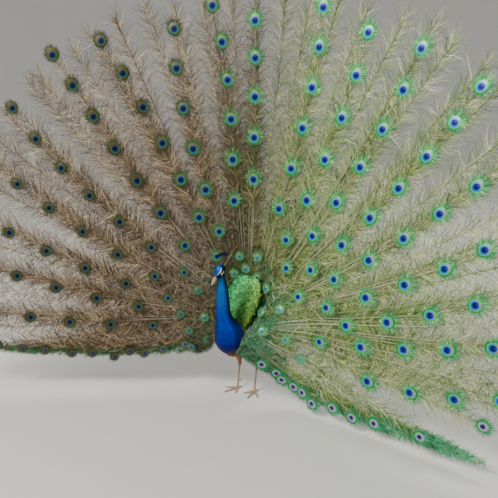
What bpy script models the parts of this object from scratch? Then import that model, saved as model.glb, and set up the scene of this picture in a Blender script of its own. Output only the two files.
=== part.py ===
"""A life-size displaying peacock: a still model, standing on its toes with the train raised.

The bird looks along -Y, +X is its left side and the floor is z = 0. Sizes are in metres.
The body is turned a little to its right under the train, so body pieces hang from one empty
and the train's sectors are shaped in the object's own frame.
"""

import math

import bpy
import bmesh
from mathutils import Matrix, Vector

# Stance
STANCE_Y = 0.102            # feet to the middle of the object's bounding box
BODY_TURN = math.radians(-12)
GAP = 0.0003                # between neighbouring solids

# Train: a shallow dish of long feathers that fans out from the rump
TRAIN_ROOT = Vector((0.0, 0.059, 0.396))
TRAIN_RADIUS = 1.66         # root to the tips of the longest feathers
TRAIN_THICK = 0.0008
TRAIN_SWEEP = 0.045         # forward sweep of the top feathers, radians
TRAIN_SIDE_SWEEP = 0.323    # and how much more the side feathers sweep
TRAIN_TILT = -0.107         # the whole dish leans back
TRAIN_LIFT = 0.051          # upward curl of the side feathers
FAN_START = -68             # degrees from the bird's left, over the top, to its right
FAN_END = 238
SECTORS = 12
ROOT_BLEND = 0.50           # where the feathers' own directions settle into the dish
RIM_STEP = 7.5              # degrees between the long fishtail feathers
RIM_NOTCH = 0.05            # depth of the notch in a fishtail tip
RIM_VALLEY = 0.11           # and of the gap between two tips
LEFT_EDGE_Z = 0.020         # lowest line of the train on each side
RIGHT_EDGE_Z = 0.187

# Head
HEAD_CENTRE = Vector((-0.026, -0.187, 0.719))
HEAD_TURN = math.radians(-27)
HEAD_PITCH = math.radians(43)
EYE_RADIUS = 0.0068
EYE_PLACE = (0.0035, 0.0205, 0.0060)   # ahead, aside and up from the head's centre
CREST_LENGTH = 0.060
CREST_LEAN = math.radians(50)
CREST_SPREAD = math.radians(27)

# Legs
FOOT_LEFT = Vector((0.050, 0.018, 0.0))
FOOT_RIGHT = Vector((-0.048, 0.008, 0.0))
ANKLE_HEIGHT = 0.143
TOE_RADIUS = 0.0058
CLAW_LENGTH = 0.015

# Short tail behind the train
TAIL_ROOT = Vector((0.018, 0.150, 0.405))
TAIL_RADIUS = 0.46

collection = bpy.data.collections.new("peacock")
guides = bpy.data.collections.new("guides")


def clear_scene():
    for thing in list(bpy.data.objects):
        bpy.data.objects.remove(thing, do_unlink=True)
    bpy.context.scene.collection.children.link(collection)
    bpy.context.scene.collection.children.link(guides)


def material(name, colour, roughness, metallic=0.0):
    made = bpy.data.materials.new(name)
    made.use_nodes = True
    shader = made.node_tree.nodes["Principled BSDF"]
    shader.inputs["Base Color"].default_value = (*colour, 1.0)
    shader.inputs["Roughness"].default_value = roughness
    shader.inputs["Metallic"].default_value = metallic
    made.diffuse_color = (*colour, 1.0)
    return made


def finish(name, bm, look, parent=None, guide=False):
    """Turns a bmesh into a named, smooth-shaded object."""
    bmesh.ops.remove_doubles(bm, verts=bm.verts, dist=1e-6)
    bmesh.ops.recalc_face_normals(bm, faces=bm.faces)
    mesh = bpy.data.meshes.new(name)
    bm.to_mesh(mesh)
    bm.free()
    mesh.shade_smooth()
    mesh.set_sharp_from_angle(angle=math.radians(45))
    thing = bpy.data.objects.new(name, mesh)
    thing.data.materials.append(look)
    (guides if guide else collection).objects.link(thing)
    if guide:
        thing.hide_render = True
        thing.display_type = "WIRE"
    thing.parent = parent
    return thing


def boolean(thing, other, operation="DIFFERENCE"):
    cut = thing.modifiers.new("Boolean", "BOOLEAN")
    cut.operation = operation
    cut.solver = "EXACT"
    cut.object = other


def empty(name, place, turn, parent=None):
    made = bpy.data.objects.new(name, None)
    made.location = place
    made.rotation_euler = turn
    made.parent = parent
    collection.objects.link(made)
    return made


def blend(rows, steps):
    """A smooth run through hand-set rows of numbers, with steps rows between each pair."""
    out = []
    for i in range(len(rows) - 1):
        before, here = rows[max(i - 1, 0)], rows[i]
        ahead, after = rows[i + 1], rows[min(i + 2, len(rows) - 1)]
        for k in range(steps):
            t = k / steps
            row = []
            for a, b, c, d in zip(before, here, ahead, after):
                bend = (2 * a - 5 * b + 4 * c - d) * t * t + (3 * b - a - 3 * c + d) * t ** 3
                row.append(b + 0.5 * ((c - a) * t + bend))
            out.append(row)
    out.append(list(rows[-1]))
    return out


def loft(name, rings, look, parent=None, guide=False):
    """Closes a run of rings of points into one solid."""
    bm = bmesh.new()
    rows = [[bm.verts.new(point) for point in ring] for ring in rings]
    sides = len(rows[0])
    for low, high in zip(rows, rows[1:]):
        for k in range(sides):
            bm.faces.new((low[k], low[(k + 1) % sides], high[(k + 1) % sides], high[k]))
    for end in (rows[0], rows[-1]):
        cap = bm.faces.new(end)
        bmesh.ops.triangulate(bm, faces=[cap])
    return finish(name, bm, look, parent, guide)


def oval(centre, across, upward, half_width, half_height, sides):
    ring = []
    for k in range(sides):
        t = 2 * math.pi * k / sides
        ring.append(centre + across * half_width * math.cos(t) + upward * half_height * math.sin(t))
    return ring


# Trunk and neck --------------------------------------------------------------------------

def trunk_rings(grow=0.0):
    """Upright ovals from the breast back to the rump: y, middle height, half width, half height."""
    rows = [
        (-0.172, 0.336, 0.030, 0.040),
        (-0.150, 0.336, 0.054, 0.074),
        (-0.100, 0.338, 0.076, 0.098),
        (-0.040, 0.342, 0.084, 0.103),
        (0.020, 0.350, 0.080, 0.098),
        (0.070, 0.362, 0.067, 0.083),
        (0.115, 0.378, 0.047, 0.060),
        (0.145, 0.390, 0.027, 0.036),
        (0.158, 0.396, 0.012, 0.014),
    ]
    x, z = Vector((1, 0, 0)), Vector((0, 0, 1))
    return [
        oval(Vector((0, y, mid)), x, z, wide + grow, high + grow, 16)
        for y, mid, wide, high in blend(rows, 2)
    ]


NECK_ROWS = [
    # height, x, y, half width, half depth
    (0.287, 0.000, -0.150, 0.022, 0.022),
    (0.300, 0.000, -0.152, 0.048, 0.048),
    (0.336, 0.000, -0.155, 0.067, 0.069),
    (0.384, 0.000, -0.156, 0.069, 0.072),
    (0.428, -0.001, -0.159, 0.064, 0.066),
    (0.452, -0.005, -0.167, 0.054, 0.056),
    (0.475, -0.010, -0.174, 0.0450, 0.0465),
    (0.510, -0.017, -0.1765, 0.0385, 0.0405),
    (0.564, -0.020, -0.1755, 0.0345, 0.0365),
    (0.617, -0.022, -0.1750, 0.0285, 0.0310),
    (0.660, -0.024, -0.1745, 0.0220, 0.0250),
    (0.702, -0.024, -0.1770, 0.0195, 0.0205),
]
NECK_SPLIT = 0.475


def neck_rings(low, high, grow=0.0):
    x, y = Vector((1, 0, 0)), Vector((0, 1, 0))
    return [
        oval(Vector((px, py, z)), x, y, wide + grow, deep + grow, 16)
        for z, px, py, wide, deep in blend(NECK_ROWS, 2)
        if low - 1e-6 <= z <= high + 1e-6
    ]


def make_trunk(body):
    feather = material("back_plumage", (0.02, 0.09, 0.10), 0.6)
    blue = material("breast_plumage", (0.01, 0.03, 0.35), 0.5)
    whole = loft("neck_guide", neck_rings(0, 1, GAP), blue, body, guide=True)
    trunk = loft("trunk", trunk_rings(), feather, body)
    boolean(trunk, whole)
    loft("breast", neck_rings(0, NECK_SPLIT), blue, body)
    rings = neck_rings(NECK_SPLIT, 1)
    rings[0] = [point + Vector((0, 0, GAP)) for point in rings[0]]
    return loft("neck", rings, blue, body)


def make_vent(body):
    """Loose dark plumage under the tail."""
    rows = [
        (0.050, 0.300, 0.020, 0.015),
        (0.075, 0.300, 0.046, 0.036),
        (0.125, 0.318, 0.050, 0.048),
        (0.170, 0.345, 0.038, 0.044),
        (0.205, 0.368, 0.014, 0.020),
    ]
    x, z = Vector((1, 0, 0)), Vector((0, 0, 1))
    rings = [oval(Vector((0, y, mid)), x, z, w, h, 12) for y, mid, w, h in blend(rows, 2)]
    vent = loft("vent", rings, material("vent_plumage", (0.05, 0.035, 0.03), 0.8), body)
    guide = loft("trunk_guide", trunk_rings(GAP), vent.data.materials[0], body, guide=True)
    boolean(vent, guide)
    return guide


def make_shield(body, trunk_guide):
    """The scaly back, raised behind the neck: height, y, half width, half thickness."""
    rows = [
        (0.372, -0.100, 0.076, 0.008),
        (0.400, -0.088, 0.086, 0.012),
        (0.430, -0.072, 0.092, 0.015),
        (0.490, -0.044, 0.100, 0.016),
        (0.550, -0.014, 0.100, 0.014),
        (0.610, 0.012, 0.076, 0.010),
        (0.648, 0.030, 0.036, 0.004),
    ]
    x = Vector((1, 0, 0))
    y = Vector((0, 0.92, -0.39))
    rings = [oval(Vector((0, at, z)), x, y, w, t, 16) for z, at, w, t in blend(rows, 2)]
    shield = loft("back_shield", rings, material("scaly_back", (0.12, 0.30, 0.05), 0.45), body)
    boolean(shield, trunk_guide)
    boolean(shield, bpy.data.objects["neck_guide"])


# Head ------------------------------------------------------------------------------------

def head_rings(grow=0.0):
    """Ovals from the nape to the bill: ahead, half width, half height, middle height."""
    rows = [
        (-0.031, 0.006, 0.007, 0.003),
        (-0.026, 0.0165, 0.018, 0.003),
        (-0.013, 0.0230, 0.0250, 0.003),
        (0.001, 0.0250, 0.0270, 0.002),
        (0.015, 0.0215, 0.0240, -0.001),
        (0.028, 0.0150, 0.0175, -0.005),
        (0.037, 0.0105, 0.0120, -0.007),
    ]
    x, z = Vector((1, 0, 0)), Vector((0, 0, 1))
    return [
        oval(Vector((0, -ahead, mid)), x, z, wide + grow, high + grow, 14)
        for ahead, wide, high, mid in blend(rows, 2)
    ]


def bill_rings(rows):
    x = Vector((1, 0, 0))
    z = Vector((0, 0, 1))
    return [oval(Vector((0, -u, mid)), x, z, w, h, 10) for u, mid, w, h in blend(rows, 2)]


def make_bill(head):
    """Upper and lower bill, each a tapering loft: ahead, middle height, half width, half height."""
    horn = material("bill_horn", (0.50, 0.45, 0.38), 0.4)
    guide = loft("head_guide", head_rings(GAP), horn, head, guide=True)
    upper = loft(
        "bill_upper",
        bill_rings([
            (0.031, -0.0035, 0.0085, 0.0062),
            (0.046, -0.0040, 0.0078, 0.0062),
            (0.060, -0.0064, 0.0060, 0.0050),
            (0.072, -0.0110, 0.0036, 0.0034),
            (0.079, -0.0170, 0.0010, 0.0012),
        ]),
        horn,
        head,
    )
    lower = loft(
        "bill_lower",
        bill_rings([
            (0.031, -0.0135, 0.0072, 0.0034),
            (0.046, -0.0136, 0.0064, 0.0030),
            (0.060, -0.0143, 0.0044, 0.0023),
            (0.070, -0.0160, 0.0016, 0.0010),
        ]),
        horn,
        head,
    )
    above = bill_rings([
        (0.022, -0.0035, 0.0095, 0.0062 + GAP),
        (0.046, -0.0040, 0.0090, 0.0062 + GAP),
        (0.060, -0.0064, 0.0072, 0.0050 + GAP),
        (0.072, -0.0110, 0.0046, 0.0034 + GAP),
        (0.081, -0.0170, 0.0022, 0.0014 + GAP),
    ])
    upper_guide = loft("bill_guide", above, horn, head, guide=True)
    boolean(upper, guide)
    boolean(lower, upper_guide)
    boolean(lower, guide)
    return guide


def make_eyes(head, face):
    iris = material("eye_brown", (0.05, 0.02, 0.01), 0.1)
    for side, name in ((1, "eye_left"), (-1, "eye_right")):
        ahead, aside, up = EYE_PLACE
        place = Vector((side * aside, -ahead, up))
        for grow, label in ((0.0, name), (GAP, name + "_socket")):
            bm = bmesh.new()
            bmesh.ops.create_uvsphere(bm, u_segments=10, v_segments=7, radius=EYE_RADIUS + grow)
            bmesh.ops.translate(bm, verts=bm.verts, vec=place)
            ball = finish(label, bm, iris, head, guide=grow > 0)
        boolean(face, ball)


def blade(name, rows, thick, look, parent):
    """A thin plate from a grid of points: each row runs across, thickness along its own normals."""
    bm = bmesh.new()
    across = len(rows[0])
    sheets = []
    for side in (0.5, -0.5):
        sheet = []
        for i, row in enumerate(rows):
            line = []
            for j, point in enumerate(row):
                ahead = rows[min(i + 1, len(rows) - 1)][j] - rows[max(i - 1, 0)][j]
                aside = row[min(j + 1, across - 1)] - row[max(j - 1, 0)]
                normal = aside.cross(ahead).normalized()
                line.append(bm.verts.new(point + normal * thick * side))
            sheet.append(line)
        sheets.append(sheet)
    front, back = sheets
    for i in range(len(rows) - 1):
        for j in range(across - 1):
            for sheet in (front, back):
                bm.faces.new((sheet[i][j], sheet[i][j + 1], sheet[i + 1][j + 1], sheet[i + 1][j]))
    border = [(0, j) for j in range(across)] + [(i, across - 1) for i in range(1, len(rows))]
    border += [(len(rows) - 1, j) for j in range(across - 2, -1, -1)]
    border += [(i, 0) for i in range(len(rows) - 2, 0, -1)]
    for (i, j), (k, l) in zip(border, border[1:] + border[:1]):
        bm.faces.new((front[i][j], front[k][l], back[k][l], back[i][j]))
    return finish(name, bm, look, parent)


def make_crest(head):
    """A fan of wiry shafts with small paddles, as one thin blade in the head's middle plane."""
    root = Vector((0, 0.0275, 0.0150))
    lobes = 7
    rows = []
    for step in range(4):
        row = []
        for k in range(2 * lobes + 1):
            share = k / (2 * lobes)
            angle = CREST_LEAN + CREST_SPREAD * (2 * share - 1)
            reach = 0.0035 + CREST_LENGTH * (0.0, 0.45, 0.80, 1.0)[step]
            if step == 3 and k % 2 == 0:
                reach -= 0.006
            row.append(root + Vector((0, math.sin(angle), math.cos(angle))) * reach)
        base = Vector((0, (k / lobes - 1) * 0.002, 0))
        rows.append([point + base * (step == 0) for point in row])
    blade("crest", rows, 0.0012, material("crest_blue", (0.01, 0.08, 0.16), 0.4), head)


def make_head(body, neck):
    frame = empty("head_frame", HEAD_CENTRE, (HEAD_PITCH, 0.0, HEAD_TURN), body)
    blue = material("head_plumage", (0.02, 0.12, 0.45), 0.5)
    face = loft("head", head_rings(), blue, frame)
    guide = make_bill(frame)
    boolean(neck, guide)
    make_eyes(frame, face)
    make_crest(frame)


# Wings and legs --------------------------------------------------------------------------

def make_wing(body, side, name, trunk_guide):
    """A folded, drooping wing: x, y, z, half thickness, half depth."""
    rows = [
        (0.080, -0.035, 0.378, 0.003, 0.012),
        (0.090, 0.000, 0.362, 0.008, 0.040),
        (0.095, 0.045, 0.342, 0.011, 0.052),
        (0.100, 0.100, 0.316, 0.010, 0.052),
        (0.116, 0.170, 0.280, 0.007, 0.042),
        (0.138, 0.245, 0.238, 0.004, 0.028),
        (0.155, 0.300, 0.208, 0.0015, 0.012),
    ]
    rings = []
    for x, y, z, thick, deep in blend(rows, 2):
        upright = Vector((-side * 0.10, 0.34, 0.93)).normalized()
        outward = Vector((side, 0, 0.10)).normalized()
        rings.append(oval(Vector((side * x, y, z)), outward, upright, thick, deep, 10))
    wing = loft(name, rings, material("wing_brown", (0.20, 0.10, 0.05), 0.7), body)
    boolean(wing, trunk_guide)


def make_thigh(body, foot, name, trunk_guide):
    """The feathered leg, from inside the belly's outline down to the ankle."""
    side = 1 if foot.x > 0 else -1
    ankle = Vector((foot.x, foot.y + 0.022, ANKLE_HEIGHT))
    hip = Vector((side * 0.040, -0.020, 0.262))
    rows = [(0.0, 0.030, 0.040), (0.35, 0.026, 0.034), (0.7, 0.014, 0.018), (1.0, 0.0065, 0.0075)]
    x, y = Vector((1, 0, 0)), Vector((0, 1, 0))
    rings = [oval(hip.lerp(ankle, t), x, y, w, d, 12) for t, w, d in blend(rows, 2)]
    thigh = loft(name, rings, material("thigh_plumage", (0.20, 0.10, 0.03), 0.8), body)
    boolean(thigh, trunk_guide)
    return ankle


def make_tarsus(body, foot, ankle, name, look):
    top = ankle - Vector((0, 0, GAP))
    low = foot + Vector((0, 0, 0.017))
    x, y = Vector((1, 0, 0)), Vector((0, 1, 0))
    rows = (
        (0.0, 0.0062, 0.0072),
        (0.12, 0.0052, 0.0062),
        (0.5, 0.0044, 0.0054),
        (0.88, 0.0050, 0.0060),
        (1.0, 0.0058, 0.0066),
    )
    rings = [oval(top.lerp(low, t), x, y, w, d, 10) for t, w, d in rows]
    loft(name, rings, look, body)


def toe_rings(start, direction, length, thick):
    """A toe from the ball of the foot out to the claw, a little arched and tapering."""
    aside = Vector((-direction.y, direction.x, 0))
    up = Vector((0, 0, 1))
    rings = []
    for t, height, size in ((0.0, 1.0, 1.1), (0.5, 0.80, 0.9), (1.0, 0.54, 0.62)):
        centre = start + direction * length * t + up * thick * height
        rings.append(oval(centre, aside, up, thick * size, thick * size, 8))
    return rings


def make_foot(body, foot, turn, name, look, horn):
    """Three front toes, a short raised hind toe and their claws. All rest on flats at z = 0."""
    toes = (
        ("middle", 0.0, 0.074, 1.0),
        ("inner", 46.0 if foot.x < 0 else -46.0, 0.052, 0.92),
        ("outer", -44.0 if foot.x < 0 else 44.0, 0.056, 0.92),
        ("hind", 168.0, 0.024, 0.78),
    )
    bm = bmesh.new()
    bmesh.ops.create_cube(bm, size=0.4)
    bmesh.ops.translate(bm, verts=bm.verts, vec=foot - Vector((0, 0, 0.2)))
    below = finish(name + "_floor", bm, look, body, guide=True)
    pad = None
    for label, angle, length, size in toes:
        heading = turn + math.radians(angle)
        direction = Vector((math.sin(heading), -math.cos(heading), 0))
        thick = TOE_RADIUS * size
        whole = toe_rings(foot - direction * 0.003, direction, length, thick)
        if pad is None:
            pad = loft(name, whole, look, body)
        else:
            boolean(pad, loft(name + "_" + label, whole, look, body, guide=True), "UNION")
        make_claw(body, foot + direction * (length - 0.003), direction, thick, name + "_claw_" + label, horn)
    ball = oval(foot, Vector((1, 0, 0)), Vector((0, 1, 0)), 0.0082, 0.0090, 12)
    rise = (-0.001, 0.009, 0.017 - GAP)
    shrink = (1.0, 0.92, 0.68)
    rings = [[foot + (p - foot) * s + Vector((0, 0, z)) for p in ball] for z, s in zip(rise, shrink)]
    boolean(pad, loft(name + "_ball", rings, look, body, guide=True), "UNION")
    boolean(pad, below)


def make_claw(body, tip, direction, thick, name, horn):
    """A blunt, slightly curved claw that ends on the floor."""
    aside = Vector((-direction.y, direction.x, 0))
    up = Vector((0, 0, 1))
    rings = []
    for t, size, height in ((0.0, 0.56, 0.62), (0.5, 0.40, 0.54), (1.0, 0.10, 0.11)):
        centre = tip + direction * (GAP + CLAW_LENGTH * t) + up * thick * height
        rings.append(oval(centre, aside, up, thick * size, thick * size, 6))
    loft(name, rings, horn, body)


def make_legs(body, trunk_guide):
    skin = material("leg_scutes", (0.25, 0.19, 0.13), 0.6)
    horn = material("claw_horn", (0.10, 0.08, 0.06), 0.5)
    for foot, turn, name in ((FOOT_LEFT, math.radians(4), "left"), (FOOT_RIGHT, math.radians(-26), "right")):
        ankle = make_thigh(body, foot, "thigh_" + name, trunk_guide)
        make_tarsus(body, foot, ankle, "tarsus_" + name, skin)
        make_foot(body, foot, turn, "foot_" + name, skin, horn)


# Tail and train --------------------------------------------------------------------------

def make_tail(body):
    """Stiff, plain feathers that stand behind the train and prop it up."""
    feathers = 9
    rows = []
    for reach in (0.03, 0.16, 0.34, 1.0):
        row = []
        for k in range(2 * feathers + 1):
            angle = math.radians(28 + 124 * k / (2 * feathers))
            length = reach if reach < 1 else TAIL_RADIUS - 0.02 * (k % 2 == 0)
            out = Vector((math.cos(angle), 0.10 + 0.05 * length, math.sin(angle)))
            row.append(out * length)
        rows.append(row)
    look = material("tail_brown", (0.12, 0.09, 0.06), 0.7)
    rows = [[TAIL_ROOT + point for point in row] for row in rows]
    blade("tail", rows, 0.0015, look, body)


ROOT_LINE = [
    # where the feathers leave the body, from the middle of the rump down one flank
    (0.000, 0.045, 0.475),
    (0.052, 0.022, 0.455),
    (0.084, -0.036, 0.425),
    (0.091, -0.083, 0.388),
    (0.087, -0.116, 0.345),
    (0.062, -0.135, 0.285),
]


def dish_point(degrees, reach):
    """A point of the dish: degrees round from the bird's left, reach along the feather."""
    angle = math.radians(degrees)
    level = math.cos(angle)
    sweep = TRAIN_SWEEP + TRAIN_SIDE_SWEEP * level ** 2
    x = reach * math.cos(sweep) * level
    z = reach * math.cos(sweep) * math.sin(angle) + TRAIN_LIFT * reach ** 2 * abs(level)
    y = -reach * math.sin(sweep)
    lean_y = y * math.cos(TRAIN_TILT) - z * math.sin(TRAIN_TILT)
    lean_z = z * math.cos(TRAIN_TILT) + y * math.sin(TRAIN_TILT)
    return TRAIN_ROOT + Vector((x, lean_y, lean_z))


def root_point(degrees):
    """The start of a feather, over the rump or forward and down along a flank."""
    line = blend(ROOT_LINE, 8)
    place = abs(degrees - 90) / (90 - FAN_START) * (len(line) - 1)
    low = min(int(place), len(line) - 2)
    x, y, z = Vector(line[low]).lerp(Vector(line[low + 1]), place - low)
    point = Vector((x if degrees < 90 else -x, y, z))
    return Matrix.Rotation(BODY_TURN, 3, "Z") @ point


def train_point(degrees, reach):
    """The dish, with its inner part drawn to where the feathers leave the body."""
    root = root_point(degrees)
    start = (root - TRAIN_ROOT).length
    if reach >= ROOT_BLEND:
        return dish_point(degrees, reach)
    share = max(0.0, (reach - start) / (ROOT_BLEND - start))
    straight = root.lerp(dish_point(degrees, ROOT_BLEND), share)
    return straight.lerp(dish_point(degrees, reach), share * share * (3 - 2 * share))


def lower_line(x):
    """Height of the train's lowest line, which sags between the rump and its far corners."""
    if x > 0:
        return LEFT_EDGE_Z + 0.06 * (x - 0.55) ** 2 + 1.05 * max(0.0, 0.52 - x) ** 2
    return RIGHT_EDGE_Z + 0.10 * (x + 0.65) ** 2 + 0.9 * max(0.0, 0.37 + x) ** 2


def train_reach(degrees):
    """How far the feathers go in this direction: to the rim, or down to the lowest line."""
    near, far = 0.05, TRAIN_RADIUS
    if train_point(degrees, far).z > lower_line(train_point(degrees, far).x):
        return far
    for _ in range(30):
        middle = 0.5 * (near + far)
        point = train_point(degrees, middle)
        if point.z > lower_line(point.x):
            near = middle
        else:
            far = middle
    return near


def train_angles(start, end):
    """Columns of a sector: two horns, a notch and a gap for each fishtail feather."""
    angles = {start, end}
    feather = math.floor(FAN_START / RIM_STEP) * RIM_STEP
    while feather < FAN_END + RIM_STEP:
        for offset in (-2.6, 0.0, 2.6, RIM_STEP / 2):
            if start + 0.3 < feather + offset < end - 0.3:
                angles.add(feather + offset)
        feather += RIM_STEP
    return sorted(angles)


def rim_dip(degrees):
    """How far a column stops short of the longest tips."""
    place = (degrees + RIM_STEP * 100) % RIM_STEP
    place = min(place, RIM_STEP - place)
    if place < 0.5:
        return RIM_NOTCH
    return 0.0 if place < 2.8 else RIM_VALLEY


def make_train():
    """The train's sectors. Each is a thin dish of feathers with its own outline of tips."""
    root = empty("train_frame", (0, STANCE_Y, 0), (0, 0, 0))
    span = (FAN_END - FAN_START) / SECTORS
    for sector in range(SECTORS):
        start = FAN_START + sector * span
        angles = train_angles(start, start + span)
        rows = []
        for step in range(5):
            row = []
            for degrees in angles:
                inner = (root_point(degrees) - TRAIN_ROOT).length
                whole = train_reach(degrees)
                dip = rim_dip(degrees) * min(1.0, max(0.2, whole - 0.6))
                outer = max(whole - dip, inner + 0.02)
                reach = inner + (outer - inner) * (0.0, 0.16, 0.42, 0.74, 1.0)[step]
                slit = math.degrees(3 * GAP / reach) if degrees == angles[-1] else 0.0
                row.append(train_point(degrees - slit, reach))
            rows.append(row)
        look = material("train_%02d" % (sector + 1), (0.10 + 0.01 * sector, 0.25 - 0.008 * sector, 0.06), 0.6)
        blade("train_%02d" % (sector + 1), rows, TRAIN_THICK, look, root)


def main():
    clear_scene()
    body = empty("body_frame", (0, STANCE_Y, 0), (0, 0, BODY_TURN))
    neck = make_trunk(body)
    trunk_guide = make_vent(body)
    make_shield(body, trunk_guide)
    make_head(body, neck)
    make_wing(body, 1, "wing_left", trunk_guide)
    make_wing(body, -1, "wing_right", trunk_guide)
    make_legs(body, trunk_guide)
    make_tail(body)
    make_train()
    bpy.context.view_layer.update()


main()
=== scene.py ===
"""Looks of a life-size displaying peacock: one feathered skin, a train of separate eyed feathers,
a scaly back, bare face and legs, lit on a pale floor. Lengths are in metres; +Z is up, the bird looks
along -Y and +X is its left side.
"""

import math

import bpy
import bmesh
import numpy as np
from mathutils import Euler, Matrix, Vector
from mathutils.bvhtree import BVHTree


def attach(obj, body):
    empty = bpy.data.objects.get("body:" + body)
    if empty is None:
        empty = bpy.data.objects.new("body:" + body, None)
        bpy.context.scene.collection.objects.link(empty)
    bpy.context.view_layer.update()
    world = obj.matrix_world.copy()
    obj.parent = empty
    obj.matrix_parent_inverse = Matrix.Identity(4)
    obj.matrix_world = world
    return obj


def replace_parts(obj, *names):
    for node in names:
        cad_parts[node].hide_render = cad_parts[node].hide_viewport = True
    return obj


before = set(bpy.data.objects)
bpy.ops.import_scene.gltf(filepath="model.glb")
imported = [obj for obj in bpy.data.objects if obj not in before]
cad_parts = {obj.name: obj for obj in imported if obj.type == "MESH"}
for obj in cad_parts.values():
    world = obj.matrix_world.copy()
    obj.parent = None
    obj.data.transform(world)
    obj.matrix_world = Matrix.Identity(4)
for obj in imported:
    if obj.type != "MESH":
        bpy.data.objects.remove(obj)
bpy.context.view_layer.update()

# Where the frame puts things ---------------------------------------------------------------

STANCE_Y = 0.102
BODY_TURN = math.radians(-12)
HEAD_CENTRE = (-0.026, -0.187, 0.719)
HEAD_TURN = math.radians(-27)
HEAD_PITCH = math.radians(43)
EYE_AHEAD, EYE_ASIDE, EYE_UP = 0.0035, 0.0205, 0.0060

BODY = Matrix.Translation((0, STANCE_Y, 0)) @ Matrix.Rotation(BODY_TURN, 4, "Z")
HEAD = BODY @ Matrix.LocRotScale(Vector(HEAD_CENTRE), Euler((HEAD_PITCH, 0, HEAD_TURN)), None)

# The train's dish, as the solids have it: degrees run from the bird's left, over the top, to its right
TRAIN_ROOT = np.array((0.0, 0.059, 0.396))
TRAIN_SWEEP = 0.045
TRAIN_SIDE_SWEEP = 0.323
TRAIN_TILT = -0.107
TRAIN_LIFT = 0.051
FAN_START, FAN_END = -68.0, 238.0
SECTORS = 12
SECTOR_SPAN = (FAN_END - FAN_START) / SECTORS
ROOT_BLEND = 0.50
ROOT_LINE = np.array((
    (0.000, 0.045, 0.475),
    (0.052, 0.022, 0.455),
    (0.084, -0.036, 0.425),
    (0.091, -0.083, 0.388),
    (0.087, -0.116, 0.345),
    (0.062, -0.135, 0.285),
))

# Rows of eyes: angle of the innermost and the outermost eye, the row's sideways bow in degrees,
# reach of the innermost and the outermost eye, and how many eyes
EYE_ROWS = (
    (187, 183, 0.0, 0.50, 1.50, 6),
    (177, 172, 0.0, 0.35, 1.57, 7),
    (167, 163, 0.0, 0.43, 1.46, 6),
    (157, 152, -0.5, 0.53, 1.50, 6),
    (145, 141, 1.2, 0.41, 1.54, 7),
    (132, 129, -0.5, 0.50, 1.60, 7),
    (117.5, 120, -1.0, 0.365, 1.54, 7),
    (109.5, 106, 1.5, 0.48, 1.48, 6),
    (98, 98, -1.8, 0.62, 1.56, 6),
    (89, 90, 0.0, 0.73, 1.49, 5),
    (75, 77.5, -1.0, 0.61, 1.55, 6),
    (64, 68, -0.6, 0.49, 1.49, 6),
    (53, 58, -0.8, 0.38, 1.52, 7),
    (40, 46, 0.0, 0.49, 1.55, 7),
    (29, 34, 0.0, 0.37, 1.50, 7),
    (17, 23, 0.0, 0.51, 1.45, 6),
    (7, 14, 0.3, 0.60, 1.57, 6),
    (-3.5, 3.5, 0.8, 0.47, 1.46, 6),
    (-14.5, -5, 0.0, 0.75, 1.52, 5),
)
ROW_CROWDING = 0.12         # eyes stand closer towards the rim
# Single eyes, by angle and reach: small ones near the body, then those along the lower edges
INNER_EYES = (
    (76, 0.24), (57, 0.23), (61, 0.15), (32, 0.18), (25, 0.27), (-2, 0.22), (-7, 0.31), (-20, 0.39),
    (-47, 0.20), (80, 0.34), (98, 0.335), (92, 0.27), (107, 0.25), (150, 0.30), (176, 0.23),
    (214, 0.235), (193, 0.31),
)
EDGE_EYES = (
    (-47, 0.285), (-45, 0.34), (-46, 0.37), (-43.5, 0.43), (-41.5, 0.485), (-41, 0.56), (-34, 0.65),
    (-31, 0.755), (-27, 0.86), (-22, 1.075), (-13, 1.305), (211, 0.33), (206, 0.355), (204, 0.48),
    (203, 0.58), (200, 0.65), (201, 0.74), (197.5, 0.845), (196.5, 0.95), (194.5, 1.085), (193.5, 1.20),
    (192, 1.32),
)
LEFT_EDGE_Z = 0.020
RIGHT_EDGE_Z = 0.187

X, Y, Z = np.eye(3)
FLOOR_CLEARANCE = 0.002     # no barb hangs lower than this
SPOT = 0.003                # a barb's or small feather's patch on the bake map
MAP_EDGE = 0.996            # a patch that starts here still lies on the map
MAP_REACH = 1.75            # the reach at the end of a sector's map

rng = np.random.default_rng(11)


# Small tools --------------------------------------------------------------------------------

def linear(code):
    """An sRGB hex colour as linear red, green and blue."""
    value = np.array([int(code[k:k + 2], 16) for k in (1, 3, 5)]) / 255
    return np.where(value <= 0.04045, value / 12.92, ((value + 0.055) / 1.055) ** 2.4)


def mixed(a, b, share):
    """Colours or points blended by a share that may be an array."""
    share = np.asarray(share, float)[..., None]
    return np.asarray(a) * (1 - share) + np.asarray(b) * share


def layered(base, *layers):
    """A colour under others, each given as a hex colour with the share that covers what is below."""
    tone = linear(base)
    for code, share in layers:
        tone = mixed(tone, linear(code), share)
    return tone


def smooth(low, high, value):
    """An eased step from 0 at low to 1 at high. It falls where low is the greater."""
    t = np.clip((np.asarray(value, float) - low) / (high - low), 0, 1)
    return t * t * (3 - 2 * t)


def unit(vectors):
    return vectors / np.maximum(np.linalg.norm(vectors, axis=-1, keepdims=True), 1e-12)


def placed(matrix, points):
    """Points in a frame of the bird's own, moved into the object's frame."""
    m = np.array(matrix)
    return np.asarray(points) @ m[:3, :3].T + m[:3, 3]


def local(matrix, points):
    return placed(matrix.inverted(), points)


def turned(matrix, directions):
    """Directions in a frame of the bird's own, turned into the object's frame."""
    return np.asarray(directions, float) @ np.array(matrix)[:3, :3].T


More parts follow.
